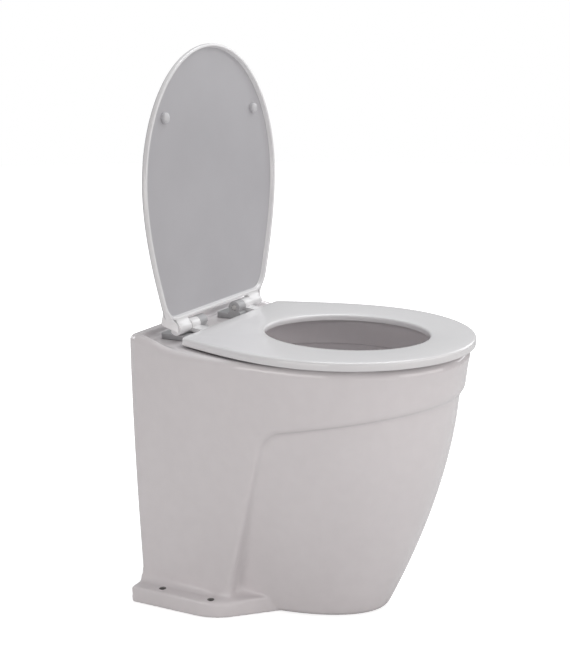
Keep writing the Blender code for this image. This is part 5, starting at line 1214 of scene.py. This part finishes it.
def screws():
    """The small screws in the pump's cover, in the discharge flange and at the valve's bracket."""
    cover_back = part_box("pump_cover")[1][1]
    screw_circle("pump_cover_screws", Vector((0, cover_back - COVER_SCREW_SEAT, COVER_CENTRE_Z)),
                 COVER_SCREW_CIRCLE, (0, -1, 0), 0.0036)
    tail = middle_of("outlet_hose_tail")
    tail.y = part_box("outlet_hose_tail")[0][1] + DISCHARGE_FLANGE
    screw_circle("discharge_screws", tail, DISCHARGE_SCREW_CIRCLE, (0, 1, 0), 0.0028)
    bracket_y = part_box("solenoid_valve_body")[0][1] - BRACKET_SCREW_SEAT
    heads = [screw((VALVE_X + side * BRACKET_SCREW_X, bracket_y, NOZZLE_Z), (0, -1, 0), 0.0026)
             for side in (-1, 1)]
    dress(together("bracket_screws", heads), "stainless", "toilet_base")


NOZZLE_DOME = ((0.004, 0.0066), (0.0046, 0.0074), (0.0062, 0.0073), (0.0078, 0.0064), (0.0092, 0.0044),
               (0.0099, 0.0018), (0.01, 0))
STEM_RADIUS = 0.0073
STEM_ROOT = 0.0068
STEM_PITCH = 0.0014
STEM_RIDGES = 17
BARB_RADIUS = 0.0054
BARB_ROOT = 0.0046
BARB_PITCH = 0.0037
BARBS = 3
SPRAY_HOLES = 5
SPRAY_CIRCLE = 0.0078
SPRAY_RADIUS = 0.0009


def wash_nozzle():
    """The nozzle in the bowl: a domed head with spray holes, a threaded stem and a barb."""
    seat_at = NOZZLE_D + TOUCH_GAP
    profile = list(NOZZLE_DOME) + [(STEM_RADIUS, 0)]
    for i in range(STEM_RIDGES):
        top = -0.0012 - i * STEM_PITCH
        profile += [(STEM_ROOT, top), (STEM_RADIUS, top - 0.4 * STEM_PITCH),
                    (STEM_RADIUS, top - 0.55 * STEM_PITCH)]
    profile += [(STEM_ROOT, -0.0268), (0.0064, -0.0273), (0.0051, -0.0273)]
    for i in range(BARBS):
        base = -0.0285 - i * BARB_PITCH
        profile += [(BARB_ROOT, base), (BARB_RADIUS, base - 0.0006), (BARB_ROOT, base - 0.0034)]
    profile += [(0.0042, -0.0408), (0.0034, -0.0408), (0.0034, 0.0052)]
    head = turned("nozzle_head", profile, at(0, seat_at, NOZZLE_Z), (0, -1, 0), 48, 40)
    reach = Vector((0, 0.004, 0))
    for i in range(SPRAY_HOLES):
        angle = pi * (1.1 + 0.2 * i)
        spot = at(SPRAY_CIRCLE * cos(angle), seat_at + 0.0064, NOZZLE_Z + SPRAY_CIRCLE * sin(angle))
        cut(head, rod("slot", SPRAY_RADIUS, spot - reach, spot + reach, 16))
    dress(head, "white_plastic", "toilet_base", "wash_nozzle")


# Carried-over nodes: better materials, fine bevels and smooth round faces

FINE_EDGE = 0.0004
WELD_DISTANCE = 0.00001


def carry_over():
    """Dress the CAD nodes that stay; welding their loose faces lets the bevel and the shading work."""
    slots = {s["node"]: s["material_slot"] for s in frame["record"]["subparts"]}
    for name, node in frame["nodes"].items():
        if name in DRESSED:
            continue
        for place in node.material_slots:
            place.material = FINISH[slots[name]]
        flat_normals = node.data.attributes.get("custom_normal")
        if flat_normals:
            node.data.attributes.remove(flat_normals)
        node.data.shade_smooth()
        node.modifiers.new("weld", "WELD").merge_threshold = WELD_DISTANCE
        bevelled(node, FINE_EDGE, 2, 34)
        node.modifiers.new("shading", "WEIGHTED_NORMAL").weight = 80


# Stage

COOL = (0.96, 0.985, 1.0)
WARM = (1.0, 0.965, 0.955)
WHITE = (1.0, 1.0, 1.0)
SOFT_LIGHT = (1.0, 0.985, 0.985)
SOFT_STRENGTH = 0.36
CAMERA_PLACE = (-1.6278, -0.8016, 0.8258)
CAMERA_AIM = (0, 0.0541, 0.3957)
CAMERA_LENS = 72.34
SENSOR_WIDTH = 36.0


def aimed(name, data, place, target):
    thing = link(name, data)
    thing.location = place
    thing.rotation_euler = (Vector(target) - Vector(place)).to_track_quat("-Z", "Y").to_euler()
    return thing


def area(name, place, target, size, power, colour):
    data = bpy.data.lights.new(name, "AREA")
    data.shape = "RECTANGLE"
    data.size, data.size_y = size
    data.energy = power
    data.color = colour
    aimed(name, data, place, target)


def floor():
    """A pale floor that keeps the object's shadow and turns white for the camera away from it."""
    bm = bmesh.new()
    bmesh.ops.create_circle(bm, cap_ends=True, segments=96, radius=6.0)
    sheet = from_bm("floor", bm)
    sheet.location = (0, 0, -0.0004)
    m = Nodes("floor_white")
    m.set(Base_Color=m.tone((0.6, 0.6, 0.6), (0.62, 0.62, 0.62), 1.5, 2.0), Roughness=0.9)
    reach = m.add("VectorMath", operation="LENGTH")
    m.wire(m.place, reach.inputs[0])
    spread = m.add("MapRange",
                   **{"From Min": 0.5, "From Max": 1.7, "To Min": 0.74, "To Max": 1.0})
    m.wire(reach.outputs["Value"], spread.inputs["Value"])
    glow = m.add("Emission")
    m.wire(spread.outputs["Result"], glow.inputs["Strength"])
    path = m.add("LightPath")
    black = m.add("Emission", Strength=0.0)
    pick = m.add("MixShader")
    m.wire(path.outputs["Is Camera Ray"], pick.inputs[0])
    m.wire(black.outputs[0], pick.inputs[1])
    m.wire(glow.outputs[0], pick.inputs[2])
    total = m.add("AddShader")
    m.wire(m.shader.outputs[0], total.inputs[0])
    m.wire(pick.outputs[0], total.inputs[1])
    m.wire(total.outputs[0], m.tree.nodes["Material Output"].inputs["Surface"])
    sheet.data.materials.append(m.material)


def studio_world():
    """Soft light from all round, and plain white behind the object."""
    world = bpy.data.worlds.new("studio")
    bpy.context.scene.world = world
    world.use_nodes = True
    tree = world.node_tree
    tree.nodes.clear()
    mix = add_node(tree, "MixShader")
    tree.links.new(add_node(tree, "LightPath").outputs["Is Camera Ray"], mix.inputs[0])
    for socket, colour, strength in ((1, SOFT_LIGHT, SOFT_STRENGTH), (2, WHITE, 1.0)):
        light = add_node(tree, "Background", Color=(*colour, 1), Strength=strength)
        tree.links.new(light.outputs[0], mix.inputs[socket])
    tree.links.new(mix.outputs[0], add_node(tree, "OutputWorld").inputs["Surface"])


def lamps():
    area("top", (0.8, 0.1, 2.3), (0, 0, 0.3), (1.2, 1.2), 20.8, COOL)
    area("left", (-2.3, 0.3, 0.4), (0, 0, 0.25), (1.8, 0.9), 12.6, WARM)
    area("front", (0.1, -2.2, 1.0), (0, 0, 0.2), (2.2, 1.1), 16.2, WARM)
    area("right", (1.8, -0.6, 1.2), (0, 0, 0.3), (1.0, 1.0), 5.6, COOL)
    area("low", (-1.5, -1.8, 0.14), (0, 0, 0.1), (1.9, 0.24), 2.6, WARM)
    area("rear", (0.2, 2.4, 0.9), (0, 0.2, 0.2), (1.2, 0.9), 7.0, COOL)
    for i in range(3):
        place = (-0.35 + 0.42 * i, -0.9 + 0.1 * i, 1.9)
        area("strip_%d" % i, place, (0, -0.1, 0.39), (0.26, 0.05), 1.2, WHITE)


def camera():
    data = bpy.data.cameras.new("camera")
    data.lens = CAMERA_LENS
    data.sensor_width = SENSOR_WIDTH
    bpy.context.scene.camera = aimed("camera", data, CAMERA_PLACE, CAMERA_AIM)
    bpy.context.scene.view_settings.view_transform = "Standard"


floor()
studio_world()
lamps()
camera()
ceramic()
seat()
lid()
seat_pads()
lid_buffers()
hinge_posts()
hinge_studs()
screws()
wash_nozzle()
carry_over()
